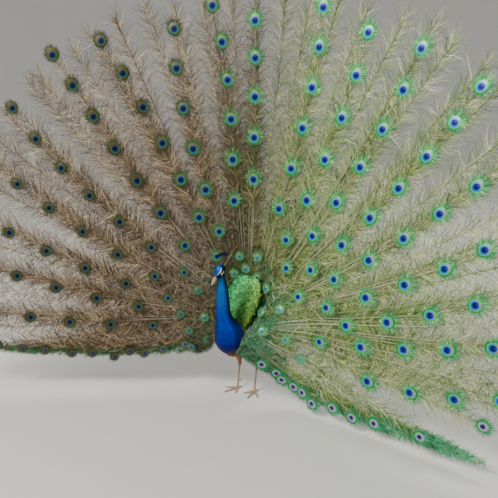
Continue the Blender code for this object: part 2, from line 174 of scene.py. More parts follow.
def through(rows, place):
    """A smooth run through rows of numbers, read at fractional row places."""
    rows = np.asarray(rows, float)
    last = len(rows) - 1
    place = np.clip(np.asarray(place, float), 0, last - 1e-9)
    at = place.astype(int)
    t = (place - at)[..., None]
    a, b = rows[np.maximum(at - 1, 0)], rows[at]
    c, d = rows[at + 1], rows[np.minimum(at + 2, last)]
    bend = (2 * a - 5 * b + 4 * c - d) * t * t + (3 * b - a - 3 * c + d) * t ** 3
    return b + 0.5 * ((c - a) * t + bend)


def grid(rows, columns, closed=False):
    """Quads over rows of points; a closed grid joins each row's end to its start."""
    return [
        (i * columns + j, i * columns + (j + 1) % columns,
         (i + 1) * columns + (j + 1) % columns, (i + 1) * columns + j)
        for i in range(rows - 1) for j in range(columns if closed else columns - 1)
    ]


def read(items, field, width, kind=float):
    """One field of a mesh's parts, as rows."""
    values = np.empty(len(items) * width, kind)
    items.foreach_get(field, values)
    return values.reshape(-1, width)


def corners_of(mesh):
    return read(mesh.vertices, "co", 3)


def store_tones(mesh, tones):
    """Keeps a colour at each vertex, for the materials to read."""
    colours = np.ones((len(mesh.vertices), 4), np.float32)
    colours[:, :3] = tones
    layer = mesh.color_attributes.new("tone", "FLOAT_COLOR", "POINT")
    layer.data.foreach_set("color", colours.ravel())


def store_map(mesh, name, corners, spots):
    """Keeps a UV map, given as one place for each vertex."""
    layer = mesh.uv_layers.new(name=name)
    layer.data.foreach_set("uv", spots[corners].astype(np.float32).ravel())


def mesh_of(bm, name):
    mesh = bpy.data.meshes.new(name)
    bm.to_mesh(mesh)
    bm.free()
    return mesh


class Heap:
    """Gathers many small meshes into one piece."""

    def __init__(self):
        self.points, self.tones, self.spots, self.quads, self.tris = [], [], [], [], []
        self.count = 0

    def add(self, points, quads, tris, tones, spots):
        """points (n, k, 3); quads and tris index within k; tones (n, k, 3); spots (n, k, 2)."""
        n, k = points.shape[:2]
        start = self.count + np.arange(n)[:, None, None] * k
        self.quads.append((start + np.asarray(quads)[None]).reshape(-1, 4))
        if len(tris):
            self.tris.append((start + np.asarray(tris)[None]).reshape(-1, 3))
        self.points.append(points.reshape(-1, 3))
        self.tones.append(np.broadcast_to(tones, (n, k, 3)).reshape(-1, 3))
        self.spots.append(np.broadcast_to(spots, (n, k, 2)).reshape(-1, 2))
        self.count += n * k

    def piece(self, name, look, slot):
        """The finished object, with its tones and its places on the bake map."""
        points = np.concatenate(self.points)
        points[:, 2] = np.maximum(points[:, 2], FLOOR_CLEARANCE)
        quads = np.concatenate(self.quads)
        tris = np.concatenate(self.tris) if self.tris else np.zeros((0, 3), int)
        corners = np.concatenate([quads.ravel(), tris.ravel()]).astype(np.int32)
        sizes = np.concatenate([np.full(len(quads), 4), np.full(len(tris), 3)])
        mesh = bpy.data.meshes.new(name)
        mesh.vertices.add(len(points))
        mesh.vertices.foreach_set("co", points.astype(np.float32).ravel())
        mesh.loops.add(len(corners))
        mesh.loops.foreach_set("vertex_index", corners)
        mesh.polygons.add(len(sizes))
        mesh.polygons.foreach_set("loop_start", (np.cumsum(sizes) - sizes).astype(np.int32))
        mesh.update(calc_edges=True)
        mesh.validate()
        store_tones(mesh, np.concatenate(self.tones))
        store_map(mesh, "OFBake", corners, np.concatenate(self.spots))
        mesh.shade_smooth()
        return ready(bpy.data.objects.new(name, mesh), look)


def ready(thing, look, link=True):
    """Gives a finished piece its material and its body."""
    if link:
        bpy.context.scene.collection.objects.link(thing)
    thing.data.materials.clear()
    thing.data.materials.append(look)
    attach(thing, "root")
    return thing


# Materials ----------------------------------------------------------------------------------

def add(tree, kind, settings=(), links=()):
    """One node, with settings by property or input name, and links as (input, source socket)."""
    made = tree.nodes.new("ShaderNode" + kind)
    for name, value in dict(settings).items():
        if isinstance(name, int) or name in made.inputs:
            made.inputs[name].default_value = value
        else:
            setattr(made, name, value)
    for name, socket in links:
        tree.links.new(socket, made.inputs[name])
    return made


def blank(name, roughness, metallic=0.0, **settings):
    """A material with its Principled shader set up."""
    made = bpy.data.materials.new(name)
    made.use_nodes = True
    shader = made.node_tree.nodes["Principled BSDF"]
    shader.inputs["Roughness"].default_value = roughness
    shader.inputs["Metallic"].default_value = metallic
    sockets = {socket.name.lower().replace(" ", "_"): socket for socket in shader.inputs}
    for key, value in settings.items():
        sockets[key].default_value = value
    return made, made.node_tree, shader


def tinted_keratin(name, roughness, metallic, mottle_mm, depth, **settings):
    """Feather keratin whose colour is grown into it: the tone stored on each barb or vane, with a fine
    mottle of lighter and darker keratin."""
    made, tree, shader = blank(name, roughness, metallic, **settings)
    tone = add(tree, "VertexColor", {"layer_name": "tone"})
    place = add(tree, "TexCoord")
    mottle = add(tree, "TexNoise", {"Scale": 1000.0 / mottle_mm, "Detail": 2.0},
                 [("Vector", place.outputs["Object"])])
    spread = {"From Min": 0.3, "From Max": 0.7, "To Min": 1.0 - depth, "To Max": 1.0 + depth}
    level = add(tree, "MapRange", spread, [("Value", mottle.outputs["Fac"])])
    shade = add(tree, "VectorMath", {"operation": "SCALE"},
                [(0, tone.outputs["Color"]), ("Scale", level.outputs["Result"])])
    tree.links.new(shade.outputs["Vector"], shader.inputs["Base Color"])
    return made


# Train surface ------------------------------------------------------------------------------

def dish(degrees, reach):
    """Points of the train's dish."""
    angle = np.radians(degrees)
    level = np.cos(angle)
    sweep = TRAIN_SWEEP + TRAIN_SIDE_SWEEP * level ** 2
    x = reach * np.cos(sweep) * level
    z = reach * np.cos(sweep) * np.sin(angle) + TRAIN_LIFT * reach ** 2 * np.abs(level)
    y = -reach * np.sin(sweep)
    lean_y = y * math.cos(TRAIN_TILT) - z * math.sin(TRAIN_TILT)
    lean_z = z * math.cos(TRAIN_TILT) + y * math.sin(TRAIN_TILT)
    return np.stack([x, lean_y, lean_z], -1) + TRAIN_ROOT


def train_root(degrees):
    """Where feathers of these directions leave the rump and flanks."""
    place = np.abs(degrees - 90) / (90 - FAN_START) * (len(ROOT_LINE) - 1)
    x, y, z = np.moveaxis(through(ROOT_LINE, place), -1, 0)
    x = np.where(degrees < 90, x, -x)
    turn_c, turn_s = math.cos(BODY_TURN), math.sin(BODY_TURN)
    return np.stack([x * turn_c - y * turn_s, x * turn_s + y * turn_c, z], -1)


def train_surface(degrees, reach):
    """The dish with its inner part drawn to the roots, in the object's frame."""
    degrees, reach = np.broadcast_arrays(np.asarray(degrees, float), np.asarray(reach, float))
    root = train_root(degrees)
    start = np.linalg.norm(root - TRAIN_ROOT, axis=-1)
    far = dish(degrees, reach)
    share = np.clip((reach - start) / (ROOT_BLEND - start), 0, 1)
    straight = mixed(root, dish(degrees, np.full_like(reach, ROOT_BLEND)), share)
    near = mixed(straight, far, smooth(0, 1, share))
    return np.where((reach >= ROOT_BLEND)[..., None], far, near) + np.array((0, STANCE_Y, 0))


def root_reach(degrees):
    return np.linalg.norm(train_root(np.asarray(degrees, float)) - TRAIN_ROOT, axis=-1)


def train_frame(degrees, reach):
    """Surface point with unit directions along the feather, across to the bird's left, and out in front."""
    here = train_surface(degrees, reach)
    along = unit(train_surface(degrees, reach + 0.004) - train_surface(degrees, reach - 0.004))
    across = unit(train_surface(degrees - 0.3, reach) - train_surface(degrees + 0.3, reach))
    across = unit(across - along * np.sum(across * along, -1, keepdims=True))
    return here, along, across, np.cross(across, along)


def lower_line(x):
    """Height of the train's lowest line."""
    left = LEFT_EDGE_Z + 0.06 * (x - 0.55) ** 2 + 1.05 * np.maximum(0.0, 0.52 - x) ** 2
    right = RIGHT_EDGE_Z + 0.10 * (x + 0.65) ** 2 + 0.70 * np.maximum(0.0, 0.37 + x) ** 2
    return np.where(x > 0, left, right)


def edge_angle(reach, side, above):
    """The direction in which a feather of this reach ends this far above the lowest line."""
    degrees = np.linspace(45, FAN_START, 500) if side > 0 else np.linspace(150, FAN_END, 500)
    point = train_surface(degrees, reach)
    clear = point[:, 2] - lower_line(point[:, 0]) - above
    below = np.nonzero(clear < 0)[0]
    return degrees[below[0]] if len(below) else degrees[-1]


def kept_above(here, run, length, above):
    """Barbs' lengths, cut back until none hangs below a height over the train's lowest line."""
    for _ in range(9):
        tip = here + run * length[:, None]
        length = np.where(tip[:, 2] < lower_line(tip[:, 0]) + above, length * 0.72, length)
    return length


def lifted(degrees, reach, above):
    """The direction nearest this one in which a feather's tip stands clear of the lowest line."""
    while abs(degrees - 90) > 2:
        point = train_surface(degrees, reach)
        if point[2] > lower_line(point[0]) + above:
            break
        degrees += 1.5 if degrees < 90 else -1.5
    return degrees


# Train feathers -----------------------------------------------------------------------------

BARB_STEPS = 3
FORKS, COVERTS, EDGE_FEATHERS = 40, 120, 60
FRINGE_BARBS = 220
BENT_FROM = 0.10            # feathers fan out from their roots and run straight past this reach


def barb_faces():
    """A ribbon of quads that ends in a triangle."""
    last = 2 * BARB_STEPS
    return [(k, k + 1, k + 3, k + 2) for k in range(0, last - 2, 2)], [(last - 2, last - 1, last)]


def grow_barbs(heap, roots, along, across, front, side, length, width, angle, close, lift, twist,
               tones, spots, tip_shade=0.8):
    """Ribbons that leave a shaft at an angle and bend towards its tip. side is 1 or -1, lift is the rise
    in front for each unit of length, and the angles are in radians."""
    n = len(roots)
    measures = (side, length, width, angle, close, lift, twist)
    side, length, width, angle, close, lift, twist = (np.broadcast_to(v, n) for v in measures)
    points = np.empty((n, 2 * BARB_STEPS + 1, 3))
    shades = np.empty((n, 2 * BARB_STEPS + 1, 3))
    patch = np.empty((n, 2 * BARB_STEPS + 1, 2))
    centre = roots.copy()
    for j in range(BARB_STEPS):
        t = j / BARB_STEPS
        lean = angle - close * t
        run = along * np.cos(lean)[:, None] + across * (side * np.sin(lean))[:, None]
        run = run + front * (lift * (2 * t - 0.6))[:, None]
        edge = along * -np.sin(lean)[:, None] + across * (side * np.cos(lean))[:, None]
        edge = edge * np.cos(twist)[:, None] + front * np.sin(twist)[:, None]
        half = (width * (1 - 0.55 * t) / 2)[:, None]
        points[:, 2 * j] = centre - edge * half
        points[:, 2 * j + 1] = centre + edge * half
        shades[:, 2 * j] = shades[:, 2 * j + 1] = tones * (1 + (tip_shade - 1) * t)
        patch[:, 2 * j] = spots + (0, SPOT * t)
        patch[:, 2 * j + 1] = spots + (SPOT, SPOT * t)
        centre = centre + run * (length / BARB_STEPS)[:, None]
    points[:, -1] = centre
    shades[:, -1] = tones * tip_shade
    patch[:, -1] = spots + (SPOT / 2, SPOT)
    heap.add(points, *barb_faces(), shades, patch)


def grow_shaft(heap, path, front, radius, tones, spots):
    """A tapering three-sided quill along a path: path (k, 3), radius (k,), tones and spots by rows or
    the same all along."""
    sides = 3
    run = unit(np.gradient(path, axis=0))
    across = unit(np.cross(run, front))
    out = np.cross(across, run)
    rings = []
    for side in range(sides):
        turn = 2 * math.pi * side / sides + math.pi / 2
        rings.append(path + (across * math.cos(turn) + out * math.sin(turn)) * radius[:, None])
    points = np.stack(rings, 1).reshape(1, -1, 3)
    corner = np.array([(0, 0), (SPOT, 0), (SPOT, SPOT)])
    k = len(path)
    patch = (np.broadcast_to(spots, (k, 2))[:, None, :] + corner[None]).reshape(1, -1, 2)
    shades = np.repeat(np.broadcast_to(tones, (k, 3)), sides, 0)[None]
    heap.add(points, grid(k, sides, closed=True), [], shades, patch)


FULL_SIZE, SMALL_SIZE = 0.9, 0.6        # shares of a full-size eye


class Feather:
    """One long feather of the train: where its eye or tip lies, where it starts and how far it is out."""

    def __init__(self, degrees, reach, kind, size=1.0, lilac=0.0):
        self.degrees, self.reach, self.kind, self.size, self.lilac = degrees, reach, kind, size, lilac
        self.bold = kind in ("eye", "fork")
        self.sector = int(np.clip((degrees - FAN_START) / SECTOR_SPAN, 0, SECTORS - 1))
        wander = rng.uniform(-6, 6) if kind == "eye" else rng.uniform(-4, 4)
        # The lowest feathers leave the rump high up and hang down before they spread
        hang = 45 * float(smooth(20, -35, degrees) - smooth(160, 205, degrees))
        wander += hang * rng.uniform(0.5, 1.1) * (0.3 if kind == "edge" else 1.0)
        self.root = min(max(degrees + wander, FAN_START + 1), FAN_END - 1)
        # Longer feathers lie behind shorter ones, and small eyes and coverts in front
        self.depth = 0.004 - 0.011 * reach + rng.normal(0, 0.002)
        if kind == "eye" and size < FULL_SIZE:
            self.depth += 0.016 if size > SMALL_SIZE else 0.022
        self.depth += 0.006 * (kind == "covert")
        low = float(smooth(40, -30, degrees) - smooth(140, 210, degrees)) * (kind == "covert")
        self.forward = turned(BODY, np.array((-0.022 * low, -0.040 * abs(low), -0.008 * abs(low))))
        self.curl = rng.normal(0, 0.4)
        self.eye_ahead = 0.011 + 0.010 * float(smooth(4, -8, degrees))

    def degrees_at(self, reach):
        """Directions along the feather: straight from its root to its tip, but for a slight bow."""
        share = np.clip((reach - BENT_FROM) / (self.reach - BENT_FROM), 0, 1)
        aside = (1 - share) * BENT_FROM / np.maximum(reach, BENT_FROM)
        bow = self.curl * np.sin(np.pi * np.clip(reach / self.reach, 0, 1))
        return self.degrees + (self.root - self.degrees) * aside + bow

    def line(self, reach):
        """Points and directions along the feather at these reaches."""
        degrees = self.degrees_at(reach)
        here, along, across, front = train_frame(degrees, reach)
        held = smooth(0.12, 0.0, reach - root_reach(degrees))
        return here + front * self.depth + self.forward * held[:, None], along, across, front

    def map_spots(self, reach):
        """Places on the unwrapped dish, for this feather's sector."""
        u = 0.5 + 0.8 * ((self.degrees_at(reach) - FAN_START) / SECTOR_SPAN - self.sector - 0.5)
        return np.clip(np.stack([u, reach / MAP_REACH], -1), 0.0, MAP_EDGE)


def hue_side(points):
    """0 on the bird's right, bronze, to 1 on its left, emerald: the train's iridescent sheen under this
    light and view, painted into the colour, with some of the feathers' own variation.
    """
    return smooth(-0.55, 0.42, points[..., 0] - 0.06 * (points[..., 2] - 0.6))


# Loose barbs: each row has a colour for the bird's right, one for its middle and one for its left,
# and the first rows run from the darkest barbs to the palest
BARB_SHADES = (
    ("#181006", "#100c04", "#23330e"),
    ("#573c20", "#34300f", "#5f9428"),
    ("#94744a", "#5c5424", "#b4d254"),
    ("#e6d0a6", "#a4965a", "#fff8c8"),
)
PALE_BARBS = ("#8f7c5c", "#a89a78", "#cfe0b8")
EDGE_SHADES = ("#25803c", "#167a40", "#1cb476")
COVERT_SHADES = ("#27442a", "#3c4a24", "#38bc84")


def by_side(codes, side):
    """Picks between three colours by side: 0 the bird's right, 0.5 over its back, 1 its left."""
    return layered(codes[0], (codes[1], np.clip(side * 2, 0, 1)), (codes[2], np.clip(side * 2 - 1, 0, 1)))


def barb_tones(points, count, kind):
    """Colour of loose barbs by place: bronze to green round the fan, partly painted iridescent sheen,
    deeper at its lower edge.
    """
    side = hue_side(points)
    if kind in ("edge", "covert"):
        tone = by_side(EDGE_SHADES if kind == "edge" else COVERT_SHADES, side)
        tone = tone * (0.20 + 1.35 * np.repeat(rng.random(count // 3 + 1), 3)[:count])[:, None]
        return mixed(tone, by_side(PALE_BARBS, side), (rng.random(count) < 0.16) * 0.65)
    clump = np.repeat(rng.random(count // 2 + 1), 2)[:count]
    roll = np.clip(clump + rng.normal(0, 0.30, count), 0, 1)
    shades = [by_side(row, side) for row in BARB_SHADES]
    tone = mixed(shades[0], shades[1], smooth(0.0, 0.35, roll))
    tone = mixed(tone, shades[2], smooth(0.35, 0.75, roll))
    return mixed(tone, shades[3], smooth(0.82 - 0.06 * side, 0.97 - 0.08 * side, roll))


# Lengths of barbs by how far along the feather they stand, as a share
BARB_LENGTH = {
    "eye": lambda share: 0.050 + 0.080 * smooth(0.0, 0.45, share) - 0.070 * smooth(0.84, 1.0, share),
    "fork": lambda share: 0.050 + 0.085 * smooth(0.0, 0.45, share) - 0.030 * smooth(0.9, 1.0, share),
    "edge": lambda share: 0.022 + 0.018 * smooth(0.0, 0.5, share),
    "covert": lambda share: 0.034 + 0.020 * smooth(0.0, 0.5, share),
}


def sunlit(path, reach):
    """How far a shaft shows pale through the barbs: most on the bird's left, less elsewhere."""
    left = smooth(-0.10, 0.30, path[:, 0] + 0.4 * smooth(0.5, 0.3, path[:, 2]) * (path[:, 0] > 0.02))
    left = left * (1 - 0.2 * smooth(0.5, 1.2, path[:, 2])) * smooth(0.15, 0.30, reach)
    right = 0.65 * smooth(0.9, 0.5, reach) + 0.80 * smooth(0.8, 1.2, reach)
    return np.maximum(left, right * smooth(0.14, 0.26, reach))


def grow_quill(feather, heap, start):
    """The quill: slim and as dark as the barbs, or pale, thicker and raised where the light falls on it."""
    stop = feather.reach
    reach = np.linspace(start + 0.004, stop - (0.028 * feather.size if feather.kind == "eye" else 0), 26)
    path, _, _, front = feather.line(reach)
    share = (reach - start) / (stop - start)
    tones = by_side(BARB_SHADES[1], hue_side(path)) * rng.uniform(0.6, 1.3)
    thick = 0.0006 - 0.0003 * share
    raised = np.full(len(reach), 0.001)
    if feather.bold:
        sunny = sunlit(path, reach)
        pale = layered("#fbf6e6", ("#c9b58f", smooth(0.35, 0.95, share)))
        tones = mixed(tones, pale, (0.10 + 0.85 * sunny) * rng.uniform(0.1, 1.0))
        thick = 0.0010 - 0.0003 * share + 0.0008 * sunny * (1 + 0.6 * share)
        over = 0.014 * smooth(0.50, 0.26, reach) * smooth(35, 5, feather.degrees)
        raised = 0.001 + sunny * (0.004 + 0.011 * (stop - reach) + over)
    thick = thick * (0.50 + 0.50 * smooth(0.20, 0.60, reach))
    grow_shaft(heap, path + front * raised[:, None], front, thick, tones, feather.map_spots(reach))


def barb_places(feather, start):
    """Reaches at which loose barbs leave the quill, and how far along the feather they are."""
    kind, stop = feather.kind, feather.reach
    bare = start + min(0.03 + 0.05 * rng.random(), 0.3 * (stop - start))
    if kind == "covert":
        bare = start + 0.003
    if kind == "edge":
        bare = max(start + 0.003, stop - 0.24)
    count = int((stop - bare) / (0.0024 if kind == "covert" else 0.0026))
    at = np.sort(bare + (stop - bare) * (np.arange(count) + rng.random(count)) / count)
    kept = 0.40 + 0.60 * smooth(0.1, 0.50, at) if feather.bold else 1.0
    at = at[rng.random(count) < kept]
    return at, (at - bare) / (stop - bare)


def dress(feather, heap):
    """Grows one feather's quill, and loose barbs down both sides of it."""
    start = float(root_reach(feather.degrees_at(0.12)))
    if feather.reach < start + 0.05:
        return
    grow_quill(feather, heap, start)
    kind, bold = feather.kind, feather.bold
    at, share = barb_places(feather, start)
    n = len(at)
    here, along, across, front = feather.line(at)
    spots = feather.map_spots(at)
    near_eye = np.exp(-((feather.reach - at) / 0.06) ** 2) * (0.6 if kind == "eye" else 0.0)
    above_edge = 0.036 + 0.018 * (feather.degrees > 90) if bold else -0.008
    for side in (1.0, -1.0):
        length = BARB_LENGTH[kind](share) * (0.50 + 0.62 * rng.random(n))
        angle = np.radians(56 - 12 * share - (14 if kind == "fork" else 0) * smooth(0.9, 1.0, share))
        angle = angle + np.radians(rng.normal(0, 23, n))
        close = np.radians(rng.normal(20, 42, n))
        lean = (angle - close / 2)[:, None]
        run = along * np.cos(lean) + across * side * np.sin(lean)
        length = kept_above(here, run, length, above_edge)
        tones = barb_tones(here, n, kind)
        tones = mixed(tones, layered("#3c3d1a", ("#239448", hue_side(here))), near_eye)
        width = (0.0014 if bold else 0.0018) * (0.7 + 0.7 * rng.random(n))
        lift = rng.normal(-0.05 if bold else 0.02, 0.09, n)
        twist = rng.normal(0, 0.8, n)
        grow_barbs(heap, here, along, across, front, side, length, width, angle, close, lift, twist,
                   tones, spots)


# Eyes of the train --------------------------------------------------------------------------

EYE_HALF = 0.033            # half the width of a full-size eye's disc
EYE_RINGS = (0.0, 0.22, 0.42, 0.60, 0.76, 0.90, 1.0)
EYE_SIDES = 22


def fringe_eye(feather, heap):
    """The dense vane round an eye: green or olive barbs that spread past its disc."""
    n = FRINGE_BARBS
    half = EYE_HALF * feather.size
    turn = np.radians(np.linspace(-176, 176, n) + rng.normal(0, 2.5, n))
    here, along, across, front = feather.line(np.full(n, feather.reach))
    here = here + front * feather.eye_ahead
    out = half * (0.72 + 0.1 * rng.random(n))
    ahead, aside = np.cos(turn)[:, None], np.sin(turn)[:, None]
    roots = here + (along * (ahead * 1.1) + across * aside) * out[:, None]
    run = unit(along * (ahead + 0.25) + across * aside)
    edge = np.cross(front, run)
    side = hue_side(roots)
    roll = rng.random(n)
    green = layered("#128040", ("#3cc070", roll), ("#b8ee98", smooth(0.65, 0.95, roll)))
    olive = layered("#2c2c10", ("#4f4a1e", roll), ("#2c5a3c", smooth(0.75, 1, roll)))
    emerald = layered("#0a6040", ("#18b07a", roll))
    tones = mixed(olive, mixed(green, emerald, feather.lilac * 0.8), side)
    length = half * (0.38 + 0.80 * rng.random(n)) * (1 + 0.35 * np.cos(turn)) * (0.72 + 0.28 * side)
    bend_to = np.where(rng.random(n) < 0.5, 1.0, -1.0)
    width = 0.0021 * feather.size * (0.7 + 0.6 * rng.random(n))
    angle = np.radians(rng.normal(0, 13, n))
    close = np.radians(rng.normal(0, 30, n))
    lift = rng.normal(0.02, 0.06, n)
    twist = rng.normal(0, 0.35, n)
    spots = feather.map_spots(np.array([feather.reach]))
    grow_barbs(heap, roots + front * 0.001, run, edge, front, bend_to, length, width, angle, close, lift,
               twist, tones, spots, tip_shade=0.85)


def eye_disc(feather):
    """One eye's disc, a low dome of rings: its points, and their places across the disc, -1 to 1."""
    here, along, across, front = (v[0] for v in feather.line(np.array([feather.reach])))
    here = here + front * feather.eye_ahead
    half = EYE_HALF * feather.size
    lean = front + across * rng.normal(0, 0.08) + along * rng.normal(0, 0.08)
    points, flat = [], []
    for ring, far in enumerate(EYE_RINGS):
        for s in range(EYE_SIDES if ring else 1):
            turn = 2 * math.pi * s / EYE_SIDES
            ragged = 1 + (0.05 * rng.standard_normal() if far == 1.0 else 0.0)
            u, v = math.sin(turn) * far * ragged, math.cos(turn) * far * ragged
            out = across * u * half + along * v * half * 1.14
            dome = 0.0035 - 0.003 * far ** 2
            points.append(here + out - lean * (out @ lean) * 0.3 + front * dome)
            flat.append((u, v))
    return np.array(points), np.array(flat)


def eye_discs(name, feathers, look):
    """The discs of all eyes, each with its own place on the bake map and an even map of its disc."""
    rows = math.ceil(math.sqrt(len(feathers)))
    points, flat = (np.stack(part) for part in zip(*[eye_disc(feather) for feather in feathers]))
    order = np.arange(len(feathers))
    middle = np.stack([order % rows, order // rows], -1) / rows + 0.5 / rows
    kinds = [(feather.lilac, float(feather.size < SMALL_SIZE), 0.0) for feather in feathers]
    quads, tris = [], []
    for s in range(EYE_SIDES):
        t = (s + 1) % EYE_SIDES
        tris.append((0, 1 + t, 1 + s))
        for ring in range(len(EYE_RINGS) - 2):
            low, high = 1 + ring * EYE_SIDES, 1 + (ring + 1) * EYE_SIDES
            quads.append((low + s, low + t, high + t, high + s))
    heap = Heap()
    heap.add(points, quads, tris, np.array(kinds)[:, None], middle[:, None] + flat * 0.42 / rows)
    made = heap.piece(name, look, "train_plumage")
    corners = read(made.data.loops, "vertex_index", 1, np.int32)[:, 0]
    store_map(made.data, "disc", corners, (0.5 + flat / 2.2).reshape(-1, 2))


def rgba(code):
    return (*linear(code), 1)


class DiscPaint:
    """Layers of colour on an eye's disc, which lies from 0 to 1 on its own even map."""

    def __init__(self, tree):
        self.tree = tree
        self.flat = add(tree, "UVMap", {"uv_map": "disc"}).outputs["UV"]
        place = add(tree, "TexCoord")
        here = add(tree, "SeparateXYZ", (), [("Vector", place.outputs["Object"])])
        side = add(tree, "MapRange", {"From Min": -0.55, "From Max": 0.40}, [("Value", here.outputs["X"])])
        self.side = side.outputs["Result"]
        self.colour = self.pair("#34360f", "#159048")

    def pair(self, dull, bright):
        """A colour that runs from the bronze side of the train to the emerald side: the iridescent sheen,
        painted in by side.
        """
        tints = {"data_type": "RGBA", 6: rgba(dull), 7: rgba(bright)}
        return add(self.tree, "Mix", tints, [(0, self.side)]).outputs[2]

    def oval(self, centre, radii, soft):
        """1 inside an oval on the disc, 0 outside."""
        place = self.flat
        for operation, value in (("SUBTRACT", (*centre, 0.0)), ("DIVIDE", (*radii, 1.0))):
            moved = add(self.tree, "VectorMath", {"operation": operation, 1: value}, [(0, place)])
            place = moved.outputs["Vector"]
        far = add(self.tree, "VectorMath", {"operation": "LENGTH"}, [(0, place)])
        step = {"From Min": 1 + soft, "From Max": 1 - soft, "interpolation_type": "SMOOTHSTEP"}
        return add(self.tree, "MapRange", step, [("Value", far.outputs["Value"])]).outputs["Result"]

    def lay(self, tint, share, within=None):
        """Lays a tint, one colour or a dull and a bright one, over the colours so far."""
        if within:
            both = add(self.tree, "Math", {"operation": "MULTIPLY"}, [(0, share), (1, within)])
            share = both.outputs["Value"]
        settings, links = {"data_type": "RGBA"}, [(0, share), (6, self.colour)]
        if len(tint) == 1:
            settings[7] = rgba(*tint)
        else:
            links.append((7, self.pair(*tint)))
        self.colour = add(self.tree, "Mix", settings, links).outputs[2]


# Rings of an eye from the outside in: centre and radii on the disc's map, softness, and the colour
# on the bronze side and on the emerald side, where the iridescent sheen is painted in
RINGS = (
    ((0.50, 0.50), (0.345, 0.345), 0.05, "#56602c", "#6fdc96"),
    ((0.50, 0.50), (0.312, 0.312), 0.05, "#3a4420", "#1f8f50"),
    ((0.50, 0.51), (0.272, 0.276), 0.05, "#5a2c14", "#bd9480"),
    ((0.50, 0.458), (0.262, 0.248), 0.07, "#17606a", "#2f98dc"),
    ((0.50, 0.464), (0.218, 0.204), 0.10, "#0a2450", "#1444c4"),
)


def eye_look():
    """Iridescent barbule keratin: colour comes from fine layers, so each ring has its own hue and a soft
    metallic glint; faint streaks run out along the barbs."""
    made, tree, shader = blank("iridescent_barbules", 0.42, 0.35, specular_ior_level=0.25)
    paint = DiscPaint(tree)
    for centre, radii, soft, *tint in RINGS:
        paint.lay(tint, paint.oval(centre, radii, soft))
    # The dark heart has a notch at its top
    notch = paint.oval((0.50, 0.560), (0.040, 0.065), 0.3)
    whole = add(tree, "Math", {"operation": "SUBTRACT", 0: 1.0}, [(1, notch)]).outputs["Value"]
    heart = paint.oval((0.50, 0.474), (0.158, 0.142), 0.12)
    paint.lay(("#03060f", "#060c48"), heart, whole)
    # The stored tone says which kind of eye it is: red for lilac ones, green for small faint ones
    kind = add(tree, "VertexColor", {"layer_name": "tone"})
    sort = add(tree, "SeparateColor", (), [("Color", kind.outputs["Color"])])
    faint = add(tree, "Math", {"operation": "MULTIPLY", 1: 0.45}, [(0, sort.outputs["Green"])])
    paint.lay(("#283c30", "#6cc093"), faint.outputs["Value"])
    lilac = sort.outputs["Red"]
    paint.lay(("#6f5c62", "#b3a2bd"), lilac, paint.oval((0.50, 0.50), (0.300, 0.300), 0.06))
    paint.lay(("#1a2270",), lilac, paint.oval((0.50, 0.47), (0.175, 0.160), 0.14))
    shade = add(tree, "VectorMath", {"operation": "SCALE"},
                [(0, paint.colour), ("Scale", barb_streaks(tree, paint.flat))])
    tree.links.new(shade.outputs["Vector"], shader.inputs["Base Color"])
    return made


def barb_streaks(tree, flat):
    """Lighter and darker barbs, half a millimetre wide, that run out from the middle of a disc."""
    moved = add(tree, "VectorMath", {"operation": "SUBTRACT", 1: (0.5, 0.42, 0.0)}, [(0, flat)])
    source = [(0, moved.outputs["Vector"])]
    far = add(tree, "VectorMath", {"operation": "LENGTH"}, source)
    turn = add(tree, "VectorMath", {"operation": "NORMALIZE"}, source)
    spread = add(tree, "VectorMath", {"operation": "SCALE", "Scale": 9.0}, [(0, turn.outputs["Vector"])])
    along = add(tree, "Math", {"operation": "MULTIPLY", 1: 6.0}, [(0, far.outputs["Value"])])
    rise = add(tree, "CombineXYZ", (), [("Z", along.outputs["Value"])])
    place = add(tree, "VectorMath", {"operation": "ADD"},
                [(0, spread.outputs["Vector"]), (1, rise.outputs["Vector"])])
    noise = add(tree, "TexNoise", {"Scale": 2.0, "Detail": 2.0}, [("Vector", place.outputs["Vector"])])
    level = {"From Min": 0.3, "From Max": 0.7, "To Min": 0.62, "To Max": 1.3}
    return add(tree, "MapRange", level, [("Value", noise.outputs["Fac"])]).outputs["Result"]


def plan_eyes():
    """The eyed feathers: the rows, the small ones near the body and those along the lower edges."""
    feathers = []
    for first, last, bow, near, far, count in EYE_ROWS:
        for t in (k / (count - 1) for k in range(count)):
            degrees = first + (last - first) * t + bow * 4 * t * (1 - t)
            reach = near + (far - near) * (t + ROW_CROWDING * t * (1 - t))
            size = 0.72 + 0.28 * float(smooth(0.3, 0.75, reach))
            size *= 1 - 0.22 * float(smooth(128, 150, degrees))
            feathers.append(Feather(degrees, reach, "eye", size))
    feathers += [Feather(degrees, reach, "eye", 0.55) for degrees, reach in INNER_EYES]
    for degrees, reach in EDGE_EYES:
        size, lilac = (0.84, 1.0) if degrees < 90 else (0.62, 0.2)
        feathers.append(Feather(degrees, reach, "eye", size, lilac))
    return feathers


def plan_others():
    """Forked feathers round the rim, coverts over the rump, and dense feathers along the lower edges."""
    feathers = []
    for k in range(FORKS):
        degrees = -9 + k * 5.2 + rng.normal(0, 0.8)
        feathers.append(Feather(degrees, 1.585 + 0.02 * rng.standard_normal(), "fork"))
    for k in range(COVERTS):
        degrees = FAN_START + 4 + (FAN_END - FAN_START - 8) * (k + rng.random()) / COVERTS
        low = abs(degrees - 90) / 150
        reach = float(root_reach(degrees)) + 0.09 + 0.09 * rng.random() * (1.6 - low)
        feathers.append(Feather(lifted(degrees, reach, 0.008), reach, "covert"))
    for side in (1, -1):
        for k in range(EDGE_FEATHERS):
            reach = 0.22 + 0.0193 * k
            degrees = edge_angle(reach, side, 0.008 + 0.036 * rng.random())
            feathers.append(Feather(degrees, reach, "edge"))
    return feathers


